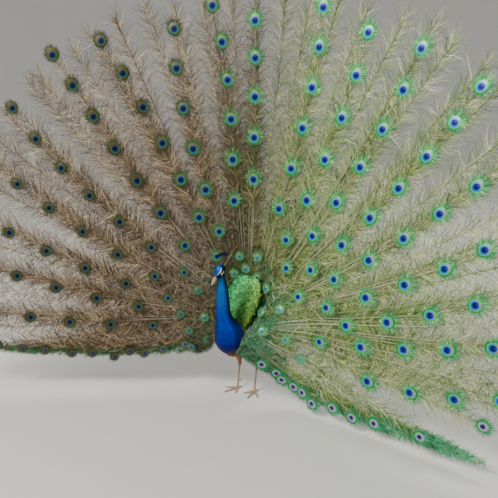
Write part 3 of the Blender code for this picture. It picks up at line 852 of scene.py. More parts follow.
def make_train():
    # Loose barbs with few barbules: a slight silky sheen, and gaps that light comes through
    loose = tinted_keratin("loose_train_barbs", 0.5, 0.15, 9.0, 0.25)
    feathers = plan_eyes() + plan_others()
    heaps = [Heap() for _ in range(SECTORS)]
    for feather in feathers:
        heap = heaps[feather.sector]
        dress(feather, heap)
        if feather.kind == "eye":
            fringe_eye(feather, heap)
    for k, heap in enumerate(heaps):
        name = "train_%02d" % (k + 1)
        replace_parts(heap.piece(name + "_feathers", loose, "train_plumage"), name)
    eyed = [feather for feather in feathers if feather.kind == "eye"]
    eye_discs("train_eyes", eyed, eye_look())


# Body lofts ---------------------------------------------------------------------------------

NECK = np.array((
    # x, y, height, half width, half depth
    (0.000, -0.150, 0.287, 0.022, 0.022),
    (0.000, -0.152, 0.300, 0.048, 0.048),
    (0.000, -0.155, 0.336, 0.067, 0.069),
    (0.000, -0.156, 0.384, 0.069, 0.072),
    (-0.001, -0.159, 0.428, 0.064, 0.066),
    (-0.005, -0.167, 0.452, 0.054, 0.056),
    (-0.010, -0.174, 0.475, 0.0450, 0.0465),
    (-0.017, -0.1765, 0.510, 0.0385, 0.0405),
    (-0.020, -0.1755, 0.564, 0.0345, 0.0365),
    (-0.022, -0.1750, 0.617, 0.0285, 0.0310),
    (-0.024, -0.1745, 0.660, 0.0220, 0.0250),
    (-0.0245, -0.1795, 0.694, 0.0198, 0.0205),
    (-0.0255, -0.1845, 0.712, 0.0165, 0.0165),
    (-0.0260, -0.1870, 0.724, 0.0100, 0.0100),
))
TRUNK = np.array((
    # y, middle height, half width, half height
    (-0.172, 0.336, 0.030, 0.040),
    (-0.150, 0.336, 0.054, 0.074),
    (-0.100, 0.338, 0.076, 0.098),
    (-0.040, 0.342, 0.084, 0.103),
    (0.020, 0.350, 0.080, 0.098),
    (0.070, 0.362, 0.067, 0.083),
    (0.115, 0.378, 0.047, 0.060),
    (0.145, 0.390, 0.027, 0.036),
    (0.158, 0.396, 0.012, 0.014),
))
VENT = np.array((
    (0.050, 0.300, 0.020, 0.015),
    (0.075, 0.300, 0.046, 0.036),
    (0.125, 0.318, 0.050, 0.048),
    (0.170, 0.345, 0.038, 0.044),
    (0.205, 0.368, 0.014, 0.020),
))
SHIELD = np.array((
    # y, height, half width, half thickness
    (-0.100, 0.372, 0.046, 0.008),
    (-0.088, 0.400, 0.064, 0.012),
    (-0.072, 0.430, 0.080, 0.015),
    (-0.044, 0.490, 0.098, 0.016),
    (-0.014, 0.550, 0.100, 0.014),
    (0.010, 0.602, 0.084, 0.010),
    (0.025, 0.634, 0.058, 0.005),
))
WING = np.array((
    # x, y, height, half thickness, half depth
    (0.080, -0.035, 0.378, 0.003, 0.012),
    (0.090, 0.000, 0.362, 0.008, 0.040),
    (0.095, 0.045, 0.342, 0.011, 0.052),
    (0.100, 0.100, 0.316, 0.010, 0.052),
    (0.116, 0.170, 0.280, 0.007, 0.042),
    (0.138, 0.245, 0.238, 0.004, 0.028),
    (0.155, 0.300, 0.208, 0.0015, 0.012),
))
HEAD_ROWS = np.array((
    # ahead, middle height, half width, half height
    (-0.031, 0.003, 0.006, 0.007),
    (-0.026, 0.003, 0.0165, 0.018),
    (-0.013, 0.003, 0.0230, 0.0250),
    (0.001, 0.002, 0.0250, 0.0270),
    (0.015, -0.001, 0.0215, 0.0240),
    (0.028, -0.005, 0.0150, 0.0175),
    (0.037, -0.007, 0.0105, 0.0120),
))
# Share of the way down, half width, half depth
THIGH = ((0, 0.026, 0.036), (0.35, 0.022, 0.030), (0.7, 0.011, 0.015), (1, 0.0056, 0.0066))
SHANK = (
    (-0.25, 0.0052, 0.0060), (-0.06, 0.0060, 0.0072), (0.05, 0.0062, 0.0074), (0.2, 0.0047, 0.0058),
    (0.55, 0.0043, 0.0053), (0.85, 0.0047, 0.0058), (0.95, 0.0062, 0.0070), (1.0, 0.0060, 0.0066),
)
# Height over the ground, share of full thickness
BALL = ((-0.002, 1.0), (0.004, 1.0), (0.010, 0.92), (0.015, 0.72), (0.0166, 0.5))
FEET = {"left": ((0.050, 0.018, 0.0), 4), "right": ((-0.048, 0.008, 0.0), -26)}
ANKLE_HEIGHT = 0.143
TOE_RADIUS = 0.0058
TOE_TOP = 0.020
TOES = (
    # name; heading in degrees, mirrored on the other foot; length; thickness as a share
    ("middle", 0.0, 0.074, 1.0),
    ("inner", -46.0, 0.052, 0.92),
    ("outer", 44.0, 0.056, 0.92),
    ("hind", 168.0, 0.024, 0.78),
)
SHIELD_BACK = np.array((0.0, 0.92, -0.39))      # square to the raised back
NECK_JOIN = 0.592           # the neck's skin is finer above this height


def tube(bm, centres, across, upward, wide, high, sides=36):
    """A closed loft of ovals: centres (k, 3), half sizes (k,)."""
    turn = np.linspace(0, 2 * math.pi, sides, endpoint=False)
    rings = centres[:, None] + across * (np.outer(wide, np.cos(turn)))[..., None]
    rings = rings + upward * (np.outer(high, np.sin(turn)))[..., None]
    rows = [[bm.verts.new(point) for point in ring] for ring in rings]
    for low, over in zip(rows, rows[1:]):
        for k in range(sides):
            bm.faces.new((low[k], low[(k + 1) % sides], over[(k + 1) % sides], over[k]))
    bm.faces.new(rows[0][::-1])
    bm.faces.new(rows[-1])


def table(rows, steps):
    """Given rows read at many even steps, as columns."""
    return through(rows, np.linspace(0, len(rows) - 1, steps)).T


def coat_depth(height):
    """How far the neck's skin lies under its feathers' outline."""
    return 0.0055 - 0.0035 * smooth(0.45, 0.62, height)


def body_lofts(bm):
    """Trunk, neck, vent, raised back, wings and thighs, each drawn in by its coat's depth."""
    for rows, steps in ((TRUNK, 60), (VENT, 30)):
        y, mid, wide, high = table(rows, steps)
        tube(bm, np.stack([0 * y, y, mid], 1), X, Z, wide - 0.005, high - 0.005)
    x, y, z, wide, deep = table(NECK[:10], 80)
    inset = coat_depth(z)
    tube(bm, np.stack([x, y, z], 1), X, Y, wide - inset, deep - inset)
    y, z, wide, thick = table(SHIELD, 50)
    shift = -0.007 + 0.009 * smooth(0.45, 0.58, z)
    thin = np.maximum(thick - 0.0035, 0.0034)
    tube(bm, np.stack([shift, y, z], 1), X, SHIELD_BACK, 0.98 * wide - 0.002, thin, 60)
    for side in (1, -1):
        x, y, z, thick, deep = table(WING[:-1], 50)
        upright = unit(np.array((-side * 0.10, 0.34, 0.93)))
        outward = unit(np.array((side, 0, 0.10)))
        thin = np.maximum(thick - 0.002, 0.0025)
        tube(bm, np.stack([side * x, y, z], 1), outward, upright, thin, deep - 0.003)
    for foot, _ in FEET.values():
        hip, ankle = thigh_ends(foot)
        t, wide, deep = table(THIGH, 30)
        tube(bm, hip + (ankle - hip) * t[:, None], X, Y, wide, deep)


def thigh_ends(foot):
    side = 1 if foot[0] > 0 else -1
    return np.array((side * 0.040, -0.020, 0.262)), np.array((foot[0], foot[1] + 0.022, ANKLE_HEIGHT))


def head_lofts(bm):
    """The head with the top of the neck, in the object's frame."""
    made = bmesh.new()
    ahead, mid, wide, high = table(HEAD_ROWS, 70)
    tube(made, np.stack([0 * ahead, -ahead, mid], 1), X, Z, wide - 0.0012, high - 0.0012, 56)
    made.transform(HEAD)
    neck = bmesh.new()
    rows = table(NECK[8:], 50)
    x, y, z, wide, deep = rows[:, rows[2] > NECK_JOIN]
    inset = coat_depth(z) + 0.001 * smooth(0.61, 0.595, z)
    tube(neck, np.stack([x, y, z], 1), X, Y, wide - inset, deep - inset)
    neck.transform(BODY)
    for part in (made, neck):
        mesh = mesh_of(part, "part")
        bm.from_mesh(mesh)
        bpy.data.meshes.remove(mesh)


def toes(name):
    """Each toe's label, start, heading, length and thickness as a share."""
    foot, turn = FEET[name]
    for label, angle, length, size in TOES:
        heading = math.radians(turn + (angle if name == "left" else -angle))
        ahead = np.array((math.sin(heading), -math.cos(heading), 0.0))
        yield label, np.array(foot), ahead, length, size


def beside(ahead):
    return np.array((-ahead[1], ahead[0], 0))


def leg_lofts(bm):
    """Shanks, toes and the balls of the feet, a little knuckled at the joints."""
    for name, (foot, _) in FEET.items():
        _, ankle = thigh_ends(foot)
        low = np.array(foot) + (0, 0, 0.010)
        t, wide, deep = table(SHANK, 60)
        tube(bm, ankle + (low - ankle) * t[:, None], X, Y, wide, deep, 24)
        rise, share = table(BALL, 10)
        tube(bm, np.array(foot) + rise[:, None] * Z, X, Y, 0.0080 * share, 0.0088 * share, 24)
        for _, start, ahead, length, size in toes(name):
            t = np.linspace(-0.04, 1.0, 40)
            joints = 0.06 * np.cos(2 * math.pi * t * (3 if length > 0.03 else 1.5))
            thick, height = through(((1.1, 1.0), (0.9, 0.80), (0.62, 0.54)), t * 2).T
            thick = TOE_RADIUS * size * (thick + joints * (1 - 0.3 * t))
            height = TOE_RADIUS * size * height
            centres = start + ahead * (length * t)[:, None] + height[:, None] * Z
            tube(bm, centres, beside(ahead), Z, thick, thick, 18)


def only(thing):
    """Makes one object the selected and active one."""
    bpy.ops.object.select_all(action="DESELECT")
    thing.select_set(True)
    bpy.context.view_layer.objects.active = thing


def worked(thing, kind, **settings):
    """Adds one modifier and applies it."""
    only(thing)
    step = thing.modifiers.new(kind.lower(), kind)
    for name, value in settings.items():
        setattr(step, name, value)
    bpy.ops.object.modifier_apply(modifier=step.name)


def melted(name, fill, matrix, voxel, rounds):
    """Lofts grown together into one even, closed shell."""
    bm = bmesh.new()
    fill(bm)
    bm.transform(matrix)
    bmesh.ops.recalc_face_normals(bm, faces=bm.faces)
    thing = bpy.data.objects.new(name, mesh_of(bm, name))
    bpy.context.scene.collection.objects.link(thing)
    worked(thing, "REMESH", mode="VOXEL", voxel_size=voxel)
    worked(thing, "SMOOTH", factor=0.5, iterations=rounds)
    return thing


def reshape(thing, points):
    thing.data.vertices.foreach_set("co", np.asarray(points, np.float32).ravel())
    thing.data.update()


# Head ---------------------------------------------------------------------------------------

EYE_RADIUS = 0.0068
EYE_OPENING = 0.0047
# Height of the swelling or hollow, its centre on the left side of the head, and its radii
SWELLINGS = (
    (0.0014, (0.020, -0.008, 0.0150), (0.007, 0.010, 0.0045)),
    (-0.0016, (0.017, -0.0200, 0.0015), (0.008, 0.006, 0.0050)),
    (0.0010, (0.022, 0.0000, -0.0090), (0.008, 0.009, 0.0045)),
    (-0.0012, (0.016, 0.0180, -0.0080), (0.008, 0.008, 0.0080)),
    (0.0012, (0.006, -0.0260, 0.0040), (0.008, 0.006, 0.0060)),
)


def eye_place(side):
    return np.array((side * EYE_ASIDE, -EYE_AHEAD, EYE_UP)), unit(np.array((side, -0.20, 0.06)))


def knob(points, centre, radii):
    """1 at a centre, fading over its radii."""
    return np.exp(-np.sum(((points - np.array(centre)) / np.array(radii)) ** 2, -1))


def sculpt_head(thing):
    """Brows, lores, cheeks and nape, then the sockets."""
    p = local(HEAD, corners_of(thing.data))
    a = p.copy()
    a[:, 0] = np.abs(a[:, 0])
    out = unit(a * (1, 0.25, 0.6)) * (np.sign(p[:, :1]) * np.array((1, 0, 0)) + np.array((0, 1, 1)))
    push = sum(height * knob(a, centre, radii) for height, centre, radii in SWELLINGS)
    p = p + out * push[:, None]
    for side in (1, -1):
        p = socketed(p, side)
    reshape(thing, placed(HEAD, p))


def socketed(p, side):
    """Sinks the skin behind one eye, with lids that lie close round the ball."""
    centre, axis = eye_place(side)
    v = p - centre
    high = v @ axis
    flat = v - high[:, None] * axis
    far = np.linalg.norm(flat * (1, 0.94, 1.10), axis=1)
    near = (np.linalg.norm(flat, axis=1) < 0.013) & (high > -0.012)
    lid = np.sqrt(np.maximum((EYE_RADIUS + 0.0007) ** 2 - far ** 2, 0))
    fold = 0.0012 * np.exp(-((far - 0.0060) / 0.0022) ** 2)
    fold = fold - 0.0006 * np.exp(-((far - 0.0088) / 0.0012) ** 2)
    raised = np.maximum(high, np.where(far < EYE_RADIUS, lid, -1)) + fold
    target = np.where(far < EYE_OPENING, -0.0010, raised)
    return np.where(near[:, None], p + axis * (target - high)[:, None], p)


def segment_far(u, w, start, end):
    """Distance from points to a line on the side of the head, and how far along it they are."""
    run = np.array(end) - np.array(start)
    t = np.clip(((u - start[0]) * run[0] + (w - start[1]) * run[1]) / (run @ run), 0, 1)
    return np.hypot(u - start[0] - run[0] * t, w - start[1] - run[1] * t), t


def bare_face(p):
    """1 on the white bare skin over and under the eye. Points are in the head's frame."""
    aside, u, w = np.abs(p[:, 0]), -p[:, 1], p[:, 2]
    over, t = segment_far(u, w, (0.028, 0.0030), (-0.0075, 0.0165))
    upper = smooth(0.0024, 0.0012, over - 0.0012 * t)
    ring = np.hypot(u - EYE_AHEAD + 0.001, w - EYE_UP)
    low = smooth(0.0032, 0.0018, np.abs(ring - 0.0112)) * smooth(0.003, -0.001, w)
    low = low * smooth(-0.0160, -0.0120, u)
    gape, t = segment_far(u, w, (0.020, -0.0085), (0.004, -0.0060))
    low = np.maximum(low * smooth(0.018, 0.014, u), smooth(0.0026, 0.0014, gape - 0.001 * t))
    return np.maximum(upper, low) * smooth(0.006, 0.009, aside)


def head_tones(p):
    """Plumage of the head: azure crown, deep blue cheeks, a near-black nape that is painted shade, dark
    line through the eye.
    """
    aside, u, w = np.abs(p[:, 0]), -p[:, 1], p[:, 2]
    line, _ = segment_far(u, w, (0.036, -0.0040), (-0.0170, 0.0040))
    return layered(
        "#04306c",
        ("#0458a8", smooth(0.000, 0.014, w + 0.25 * u)),
        # Painted shade: the next two layers darken the back and lower back of the head, away from the key
        # light
        ("#03101f", smooth(-0.004, -0.013, w) * smooth(-0.022, -0.006, u)),
        ("#031a22", smooth(-0.003, -0.015, u) * smooth(0.024, 0.012, w)),
        ("#0c3d52", smooth(-0.012, -0.022, w) * smooth(0.030, 0.010, u)),
        ("#070a10", smooth(0.0068, 0.0044, line) * smooth(0.006, 0.010, aside)),
    )


# Plumage ------------------------------------------------------------------------------------

def neck_tones(p):
    """Cobalt neck and breast: azure high up, ultramarine on the breast, navy below, and near-black teal
    round the back, which is painted shade.
    """
    height = p[:, 2]
    return layered(
        "#01030e",
        ("#0a1a86", smooth(0.290, 0.392, height)),
        ("#0433a4", smooth(0.34, 0.47, height)),
        ("#0460b0", smooth(0.48, 0.62, height)),
        ("#034a74", smooth(0.64, 0.70, height)),
        # Painted shade: the back of the neck, turned from the key light, darkened to near-black teal
        ("#011c24", smooth(-0.192, -0.170, p[:, 1]) * smooth(0.42, 0.50, height) * 0.92),
    )


def shield_tones(p):
    """Golden-green back scales: greener to the bird's right, yellower to its left and at the bottom."""
    return layered(
        "#36a05c",
        ("#629434", smooth(-0.08, 0.09, p[:, 0] + 0.25 * (0.5 - p[:, 2]))),
        ("#7f7420", smooth(0.45, 0.39, p[:, 2]) * 0.7),
        ("#2c6e30", smooth(0.60, 0.645, p[:, 2]) * 0.6),
    )


def trunk_tones(p):
    """Green flanks over a rust-brown belly, duller behind."""
    return layered("#7a5226", ("#0c4a30", smooth(0.295, 0.325, p[:, 2])),
                   ("#2b2a1c", smooth(0.02, 0.10, p[:, 1])))


def thigh_tones(p):
    return layered("#5c3f1e", ("#a06a30", smooth(0.27, 0.16, p[:, 2])))


def front_flank(p):
    """True on the flank just behind the breast, where the back's scales taper down. Body frame."""
    return (p[:, 1] < -0.062 - 0.25 * (0.42 - p[:, 2])) & (p[:, 2] > 0.335)


def flank_tones(p):
    """Olive gold, darkening to bronze green behind."""
    return layered("#8a7a1e", ("#6f8a34", smooth(0.36, 0.42, p[:, 2])),
                   ("#0c2c18", smooth(-0.105, -0.075, p[:, 1])))


def vent_tones(p):
    return layered("#2a1d14", ("#4a3a2c", smooth(0.26, 0.36, p[:, 2])))


def wing_tones(p):
    return layered("#6d3516", ("#9a5526", smooth(0.38, 0.24, p[:, 2])))


FLESH = ("trunk", "breast", "neck", "head", "vent", "back_shield", "wing_left", "wing_right",
         "thigh_left", "thigh_right", "tarsus_left", "tarsus_right", "foot_left", "foot_right")
TONES = {
    "trunk": trunk_tones, "breast": neck_tones, "neck": neck_tones, "vent": vent_tones,
    "back_shield": shield_tones, "wing_left": wing_tones, "wing_right": wing_tones,
    "thigh_left": thigh_tones, "thigh_right": thigh_tones,
}


def nearest_nodes(points):
    """Which solid each point of the skin belongs to."""
    bm = bmesh.new()
    owner = []
    for k, name in enumerate(FLESH):
        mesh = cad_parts[name].data
        bm.from_mesh(mesh)
        owner += [k] * len(mesh.polygons)
    tree = BVHTree.FromBMesh(bm)
    bm.free()
    return np.array([owner[tree.find_nearest(Vector(point))[2]] for point in points])


def skin_tones(points, normals, region):
    """The skin's own colour at each point: the plumage's, darker, with bare white face and brown legs."""
    body, head = local(BODY, points), local(HEAD, points)
    tones = np.empty((len(points), 3))
    for k, name in enumerate(FLESH):
        mine = region == k
        if name == "head":
            tone = head_tones(head[mine]) * 0.6
            tones[mine] = mixed(tone, linear("#efe9dd"), bare_face(head[mine]))
        elif name in TONES:
            tones[mine] = TONES[name](body[mine]) * 0.55
        else:
            step, kind = scutes(body[mine], normals[mine])
            gap = (kind > 0) * (smooth(0.25, 0.0, step) + smooth(0.85, 1.0, step))
            tones[mine] = layered("#ae9472", ("#5c4a38", 0.75 * gap))
    return tones


# Coat ---------------------------------------------------------------------------------------

# Outlines: how far along and how broad, as shares, then where points stand across
LEAF = (((0.0, 0.30), (0.40, 0.95), (0.78, 0.90), (1.0, 0.30)), (-1.0, 0.0, 1.0))
SCALE = (
    ((0.0, 0.35), (0.38, 0.95), (0.70, 1.0), (0.88, 0.82), (1.0, 0.40)),
    (-1.0, -0.72, 0.0, 0.72, 1.0),
)


def grow_leaves(heap, shape, roots, normals, lie, spots, length, width, lift, cup, inner, rim):
    """Small overlapping feathers that rise a little from the skin and bend back to it."""
    rows, columns = shape
    across = np.cross(normals, lie)
    points, tones, patch = [], [], []
    for t, broad in rows:
        rise = length * (lift * t - 0.9 * lift * t * t) + 0.0004
        for s in columns:
            arch = cup * width * broad * (1 - s * s)
            rounded = 0.06 * abs(s) * (t == rows[-1][0])
            points.append(roots + lie * (length * (t - rounded))[:, None] + normals * (rise + arch)[:, None]
                          + across * (width * broad * s / 2)[:, None])
            aside = 0.85 * smooth(0.6, 1.0, abs(s)) * smooth(0.2, 0.6, t)
            share = float(max(smooth(0.66, 0.95, t), aside))
            shade = 0.45 + 0.55 * float(smooth(0.0, 0.45, t))
            tones.append((inner * (1 - share) + rim * share) * shade)
            patch.append(spots + (SPOT * (s + 1) / 2, SPOT * t))
    quads = grid(len(rows), len(columns))
    heap.add(np.stack(points, 1), quads, [], np.stack(tones, 1), np.stack(patch, 1))


class Hide:
    """The skin's triangles, ready to set feathers on."""

    def __init__(self, thing, region):
        mesh = thing.data
        mesh.calc_loop_triangles()
        corner = read(mesh.loop_triangles, "vertices", 3, np.int32)
        loops = read(mesh.loop_triangles, "loops", 3, np.int32)
        self.points = corners_of(mesh)[corner]
        self.normals = read(mesh.vertex_normals, "vector", 3)[corner]
        self.unwrap = read(mesh.uv_layers["OFBake"].data, "uv", 2)[loops]
        self.region = region[corner[:, 0]]
        edge = self.points[:, 1:] - self.points[:, :1]
        self.area = np.linalg.norm(np.cross(edge[:, 0], edge[:, 1]), axis=1) / 2

    def roots(self, names, gap, keep):
        """Points, normals and map places spread over some solids' skin, none closer than gap."""
        wanted = np.isin(self.region, [FLESH.index(name) for name in names])
        weight = self.area * wanted
        count = int(weight.sum() / gap ** 2 * 2.2)
        pick = rng.choice(len(weight), count, p=weight / weight.sum())
        a, b = np.sqrt(rng.random(count)), rng.random(count)
        share = np.stack([1 - a, a * (1 - b), a * b], 1)[:, :, None]
        points = (self.points[pick] * share).sum(1)
        allowed = keep(points) if keep else np.ones(count, bool)
        chosen = apart(points, gap, allowed)
        pick, share = pick[chosen], share[chosen]
        normals = unit((self.normals[pick] * share).sum(1))
        return points[chosen], normals, (self.unwrap[pick] * share).sum(1) * MAP_EDGE


def apart(points, gap, allowed):
    """Keeps allowed points that stand clear of the ones kept before them."""
    kept = {}
    chosen = np.zeros(len(points), bool)
    cells = np.floor(points / gap).astype(int)
    around = [(i, j, k) for i in (-1, 0, 1) for j in (-1, 0, 1) for k in (-1, 0, 1)]
    for k in np.nonzero(allowed)[0]:
        x, y, z = cells[k]
        others = [kept.get((x + a, y + b, z + c)) for a, b, c in around]
        point = points[k]
        if all(other is None or ((other - point) ** 2).sum() >= gap * gap * 0.72 for other in others):
            kept[(x, y, z)] = point
            chosen[k] = True
    return chosen


def steady(x, y, z):
    """A field of one direction, in the body's frame."""
    return lambda points: turned(BODY, np.broadcast_to((x, y, z), points.shape))


trunk_lie = steady(0, 1.0, -0.28)
flank_lie = steady(0, 0.35, -1.0)
thigh_lie = steady(0, 0.22, -1.0)


def neck_lie(points):
    """Down the neck, then back under the breast."""
    p = local(BODY, points)
    back = 0.08 + 1.1 * smooth(0.37, 0.29, p[:, 2])
    return turned(BODY, np.stack([0 * back, back, -np.ones(len(p))], 1))


def wing_lie(points):
    p = local(BODY, points)
    side = np.where(p[:, 0] > 0, 0.22, -0.22)
    return turned(BODY, np.stack([side, 0.86 + 0 * side, -0.48 + 0 * side], 1))


def shield_lie(points):
    """Up the raised back and out to its edges, away from the neck."""
    p = local(BODY, points)
    return turned(BODY, p - np.array((0.0, -0.11, 0.33)))


def head_lie(points):
    p = local(HEAD, points)
    down = -0.25 - 0.5 * smooth(0.0, -0.015, p[:, 2]) - 0.5 * smooth(-0.010, -0.025, -p[:, 1])
    return turned(HEAD, np.stack([0.15 * np.sign(p[:, 0]), np.ones(len(p)), down], 1))


def leaves(name, look, slot, hide, nodes, gap, shape, length, width, lift, cup, lie, tones, rim,
           keep=None, spread=0.28):
    """One piece of coat: feathers of one kind over some solids' skin."""
    points, normals, spots = hide.roots(nodes, gap, keep)
    n = len(points)
    field = lie(points) + rng.normal(0, 0.07, (n, 3))
    flow = unit(field - normals * np.sum(field * normals, 1, keepdims=True))
    inner = tones(points) * (1 + spread * (2 * rng.random(n) - 1))[:, None]
    size = 0.8 + 0.4 * rng.random(n)
    lift = lift * (0.7 + 0.6 * rng.random(n))
    heap = Heap()
    grow_leaves(heap, shape, points, normals, flow, spots, length * size, width * size, lift, cup,
                inner, inner * np.asarray(rim))
    heap.piece(name, look, slot)


def on_body(rule):
    """A rule for points in the body's frame, made to take the object's points."""
    return lambda points: rule(local(BODY, points))


def clothed(points):
    """False on the bare face and inside the eyes' openings."""
    p = local(HEAD, points)
    clear = bare_face(p) < 0.35
    for side in (1, -1):
        centre, axis = eye_place(side)
        v = p - centre
        flat = v - (v @ axis)[:, None] * axis
        clear &= (np.linalg.norm(flat, axis=1) > 0.0066) | (v @ axis < 0)
    return clear


def make_coat(hide):
    # Barbules of layered keratin over dark pigment: a deep, silky, metallic blue
    blue = tinted_keratin("glossy_blue_feathers", 0.42, 0.65, 2.0, 0.18, specular_ior_level=0.2)
    # Broader barbules of the same kind, lying flat: a firmer, brassy sheen
    scaly = tinted_keratin("golden_green_scale_feathers", 0.44, 0.40, 2.0, 0.15, specular_ior_level=0.25)
    # Plain pigmented keratin in open barbs: matt, with no glint
    brown = tinted_keratin("loose_brown_feathers", 0.75, 0.0, 3.0, 0.25)
    blue, scaly, brown = (blue, "blue_plumage"), (scaly, "back_plumage"), (brown, "brown_plumage")
    thighs, wings = ("thigh_left", "thigh_right"), ("wing_left", "wing_right")
    scale_rim, flank_rim = (0.10, 0.16, 0.08), (0.3, 0.35, 0.2)
    coats = (
        # piece, look and slot, solids, gap, outline, length, width, lift, cup, lie, tones, the rim's
        # shade against the middle's; then where it may grow, and how far tones vary
        ("neck", blue, ("neck",), 0.0024, LEAF, 0.0090, 0.0050, 0.22, 0.10,
         neck_lie, on_body(neck_tones), 1.25),
        ("breast", blue, ("breast",), 0.0032, LEAF, 0.0130, 0.0070, 0.22, 0.10,
         neck_lie, on_body(neck_tones), 1.25),
        ("head", blue, ("head",), 0.0011, LEAF, 0.0034, 0.0018, 0.20, 0.10,
         head_lie, lambda points: head_tones(local(HEAD, points)), 1.2, clothed),
        ("back", scaly, ("back_shield",), 0.0076, SCALE, 0.0170, 0.0134, 0.10, 0.02,
         shield_lie, on_body(shield_tones), scale_rim, None, 0.55),
        ("flanks", scaly, ("trunk",), 0.0062, SCALE, 0.0140, 0.0105, 0.20, 0.04,
         flank_lie, on_body(flank_tones), flank_rim, on_body(front_flank)),
        ("trunk", brown, ("trunk",), 0.0058, LEAF, 0.0220, 0.0080, 0.22, 0.10,
         trunk_lie, on_body(trunk_tones), 1.2, on_body(lambda p: ~front_flank(p))),
        ("vent", brown, ("vent",), 0.0042, LEAF, 0.0260, 0.0036, 0.35, 0.10,
         trunk_lie, on_body(vent_tones), 1.2),
        ("thighs", brown, thighs, 0.0026, LEAF, 0.0140, 0.0030, 0.25, 0.10,
         thigh_lie, on_body(thigh_tones), 1.2),
        ("wings", brown, wings, 0.0070, SCALE, 0.0240, 0.0125, 0.16, 0.06,
         wing_lie, on_body(wing_tones), 1.35),
    )
    for piece, (look, slot), *rules in coats:
        leaves("coat_" + piece, look, slot, hide, *rules)


def scutes(p, normals):
    """Where each point stands on its scute, 0 to 1, and whether it is on a shank, 1, or a toe, 2."""
    step, kind = np.full(len(p), 0.5), np.zeros(len(p), int)
    for name, (foot, _) in FEET.items():
        mine = (p[:, 0] > 0) == (foot[0] > 0)
        shank = mine & (p[:, 2] > TOE_TOP) & (p[:, 2] < ANKLE_HEIGHT + 0.012)
        step = np.where(shank, np.mod(p[:, 2] / 0.0062 + 0.3 * np.abs(normals[:, 0]), 1.0), step)
        kind = np.where(shank, 1, kind)
        best = np.full(len(p), 9.0)
        for _, start, ahead, _, _ in toes(name):
            far = (p - start) @ ahead
            aside = np.linalg.norm((p - start) - far[:, None] * ahead, axis=1) + np.maximum(-far, 0)
            closer = mine & (p[:, 2] <= TOE_TOP) & (aside < best) & (far > 0.006)
            step = np.where(closer, 1 - np.mod(far / 0.0040, 1.0), step)
            kind = np.where(closer, 2, kind)
            best = np.where(closer, aside, best)
    return step, kind


def body_normals(mesh):
    return turned(BODY.inverted(), read(mesh.vertex_normals, "vector", 3))


def leg_texture(thing):
    """Broad scutes down the shanks and over the toes."""
    p = local(BODY, corners_of(thing.data))
    normals = body_normals(thing.data)
    step, kind = scutes(p, normals)
    over = np.where(kind == 2, smooth(-0.2, 0.4, normals[:, 2]), 1.0)
    p = p + normals * (0.0005 * (step - 0.5) * over * (kind > 0))[:, None]
    p[:, 2] = np.maximum(p[:, 2], 0)
    reshape(thing, placed(BODY, p))


def unwrap(thing):
    only(thing)
    bpy.ops.object.mode_set(mode="EDIT")
    bpy.ops.mesh.select_all(action="SELECT")
    bpy.ops.uv.smart_project(angle_limit=math.radians(70), island_margin=0.002)
    bpy.ops.object.mode_set(mode="OBJECT")
    thing.data.uv_layers[0].name = "OFBake"


def make_skin():
    """One closed skin from bill to toes, under the plumage and bare on the face and legs."""
    skin = melted("skin", body_lofts, BODY, 0.0036, 4)
    head = melted("head_skin", head_lofts, Matrix(), 0.0011, 7)
    legs = melted("leg_skin", leg_lofts, BODY, 0.0013, 3)
    sculpt_head(head)
    leg_texture(legs)
    for other in (head, legs):
        worked(skin, "BOOLEAN", operation="UNION", solver="MANIFOLD", object=other)
        bpy.data.objects.remove(other)
    unwrap(skin)
    skin.data.shade_smooth()
    points = corners_of(skin.data)
    region = nearest_nodes(points)
    store_tones(skin.data, skin_tones(points, body_normals(skin.data), region))
    # Dry bare skin and horny scutes: an even, dull surface
    look = tinted_keratin("bare_and_scaly_skin", 0.62, 0.0, 1.2, 0.22)
    ready(skin, look, link=False)
    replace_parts(skin, *FLESH)
    return Hide(skin, region)


# Bill, eyes, claws --------------------------------------------------------------------------

# Distance ahead of the head's middle, height, half width, half depth
BILL_UPPER = (
    (0.024, -0.0030, 0.0088, 0.0064), (0.034, -0.0035, 0.0085, 0.0064), (0.046, -0.0040, 0.0076, 0.0062),
    (0.060, -0.0064, 0.0058, 0.0050), (0.072, -0.0110, 0.0034, 0.0034), (0.079, -0.0168, 0.0010, 0.0012),
)
BILL_LOWER = (
    (0.024, -0.0130, 0.0074, 0.0036), (0.034, -0.0135, 0.0071, 0.0034), (0.046, -0.0134, 0.0062, 0.0030),
    (0.060, -0.0139, 0.0043, 0.0023), (0.070, -0.0158, 0.0014, 0.0010),
)
# Share of the way along, then half width and half depth as shares of the toe's thickness
CLAW = ((0.0, 0.50, 0.60), (0.25, 0.50, 0.68), (0.6, 0.34, 0.52), (1.0, 0.06, 0.10))


def horn(name, look, matrix, loft, tones, shape=None):
    """A smooth horn piece lofted in a frame of the bird's own, with a rule for its colours."""
    bm = bmesh.new()
    tube(bm, *loft)
    bmesh.ops.recalc_face_normals(bm, faces=bm.faces)
    mesh = mesh_of(bm, name)
    points = corners_of(mesh)
    store_tones(mesh, tones(points))
    thing = bpy.data.objects.new(name, mesh)
    reshape(thing, placed(matrix, shape(points) if shape else points))
    mesh.shade_smooth()
    return ready(thing, look)


def nostrils(p):
    """Slits under a raised flap near the base of the upper bill."""
    q = np.abs(p) * (1, 0, 0) + p * (0, 1, 1)
    inward = p * (-1, 0, 0)
    inward = unit(inward + np.array((0, 0, 1e-9)))
    slit = knob(q, (0.0080, -0.0440, -0.0030), (0.0040, 0.0036, 0.0009))
    flap = knob(q, (0.0070, -0.0430, -0.0010), (0.0040, 0.0045, 0.0013))
    return p + inward * (0.0015 * slit - 0.0006 * flap)[:, None]


def bill_tones(p):
    """Pale horn, browner over the ridge and at the base."""
    ahead = -p[:, 1]
    ridge = smooth(0.0, 0.004, p[:, 2] + 0.35 * np.maximum(ahead - 0.046, 0))
    return layered("#8a7a64", ("#cdbfa6", smooth(0.034, 0.060, ahead)), ("#5f5142", ridge * 0.6))


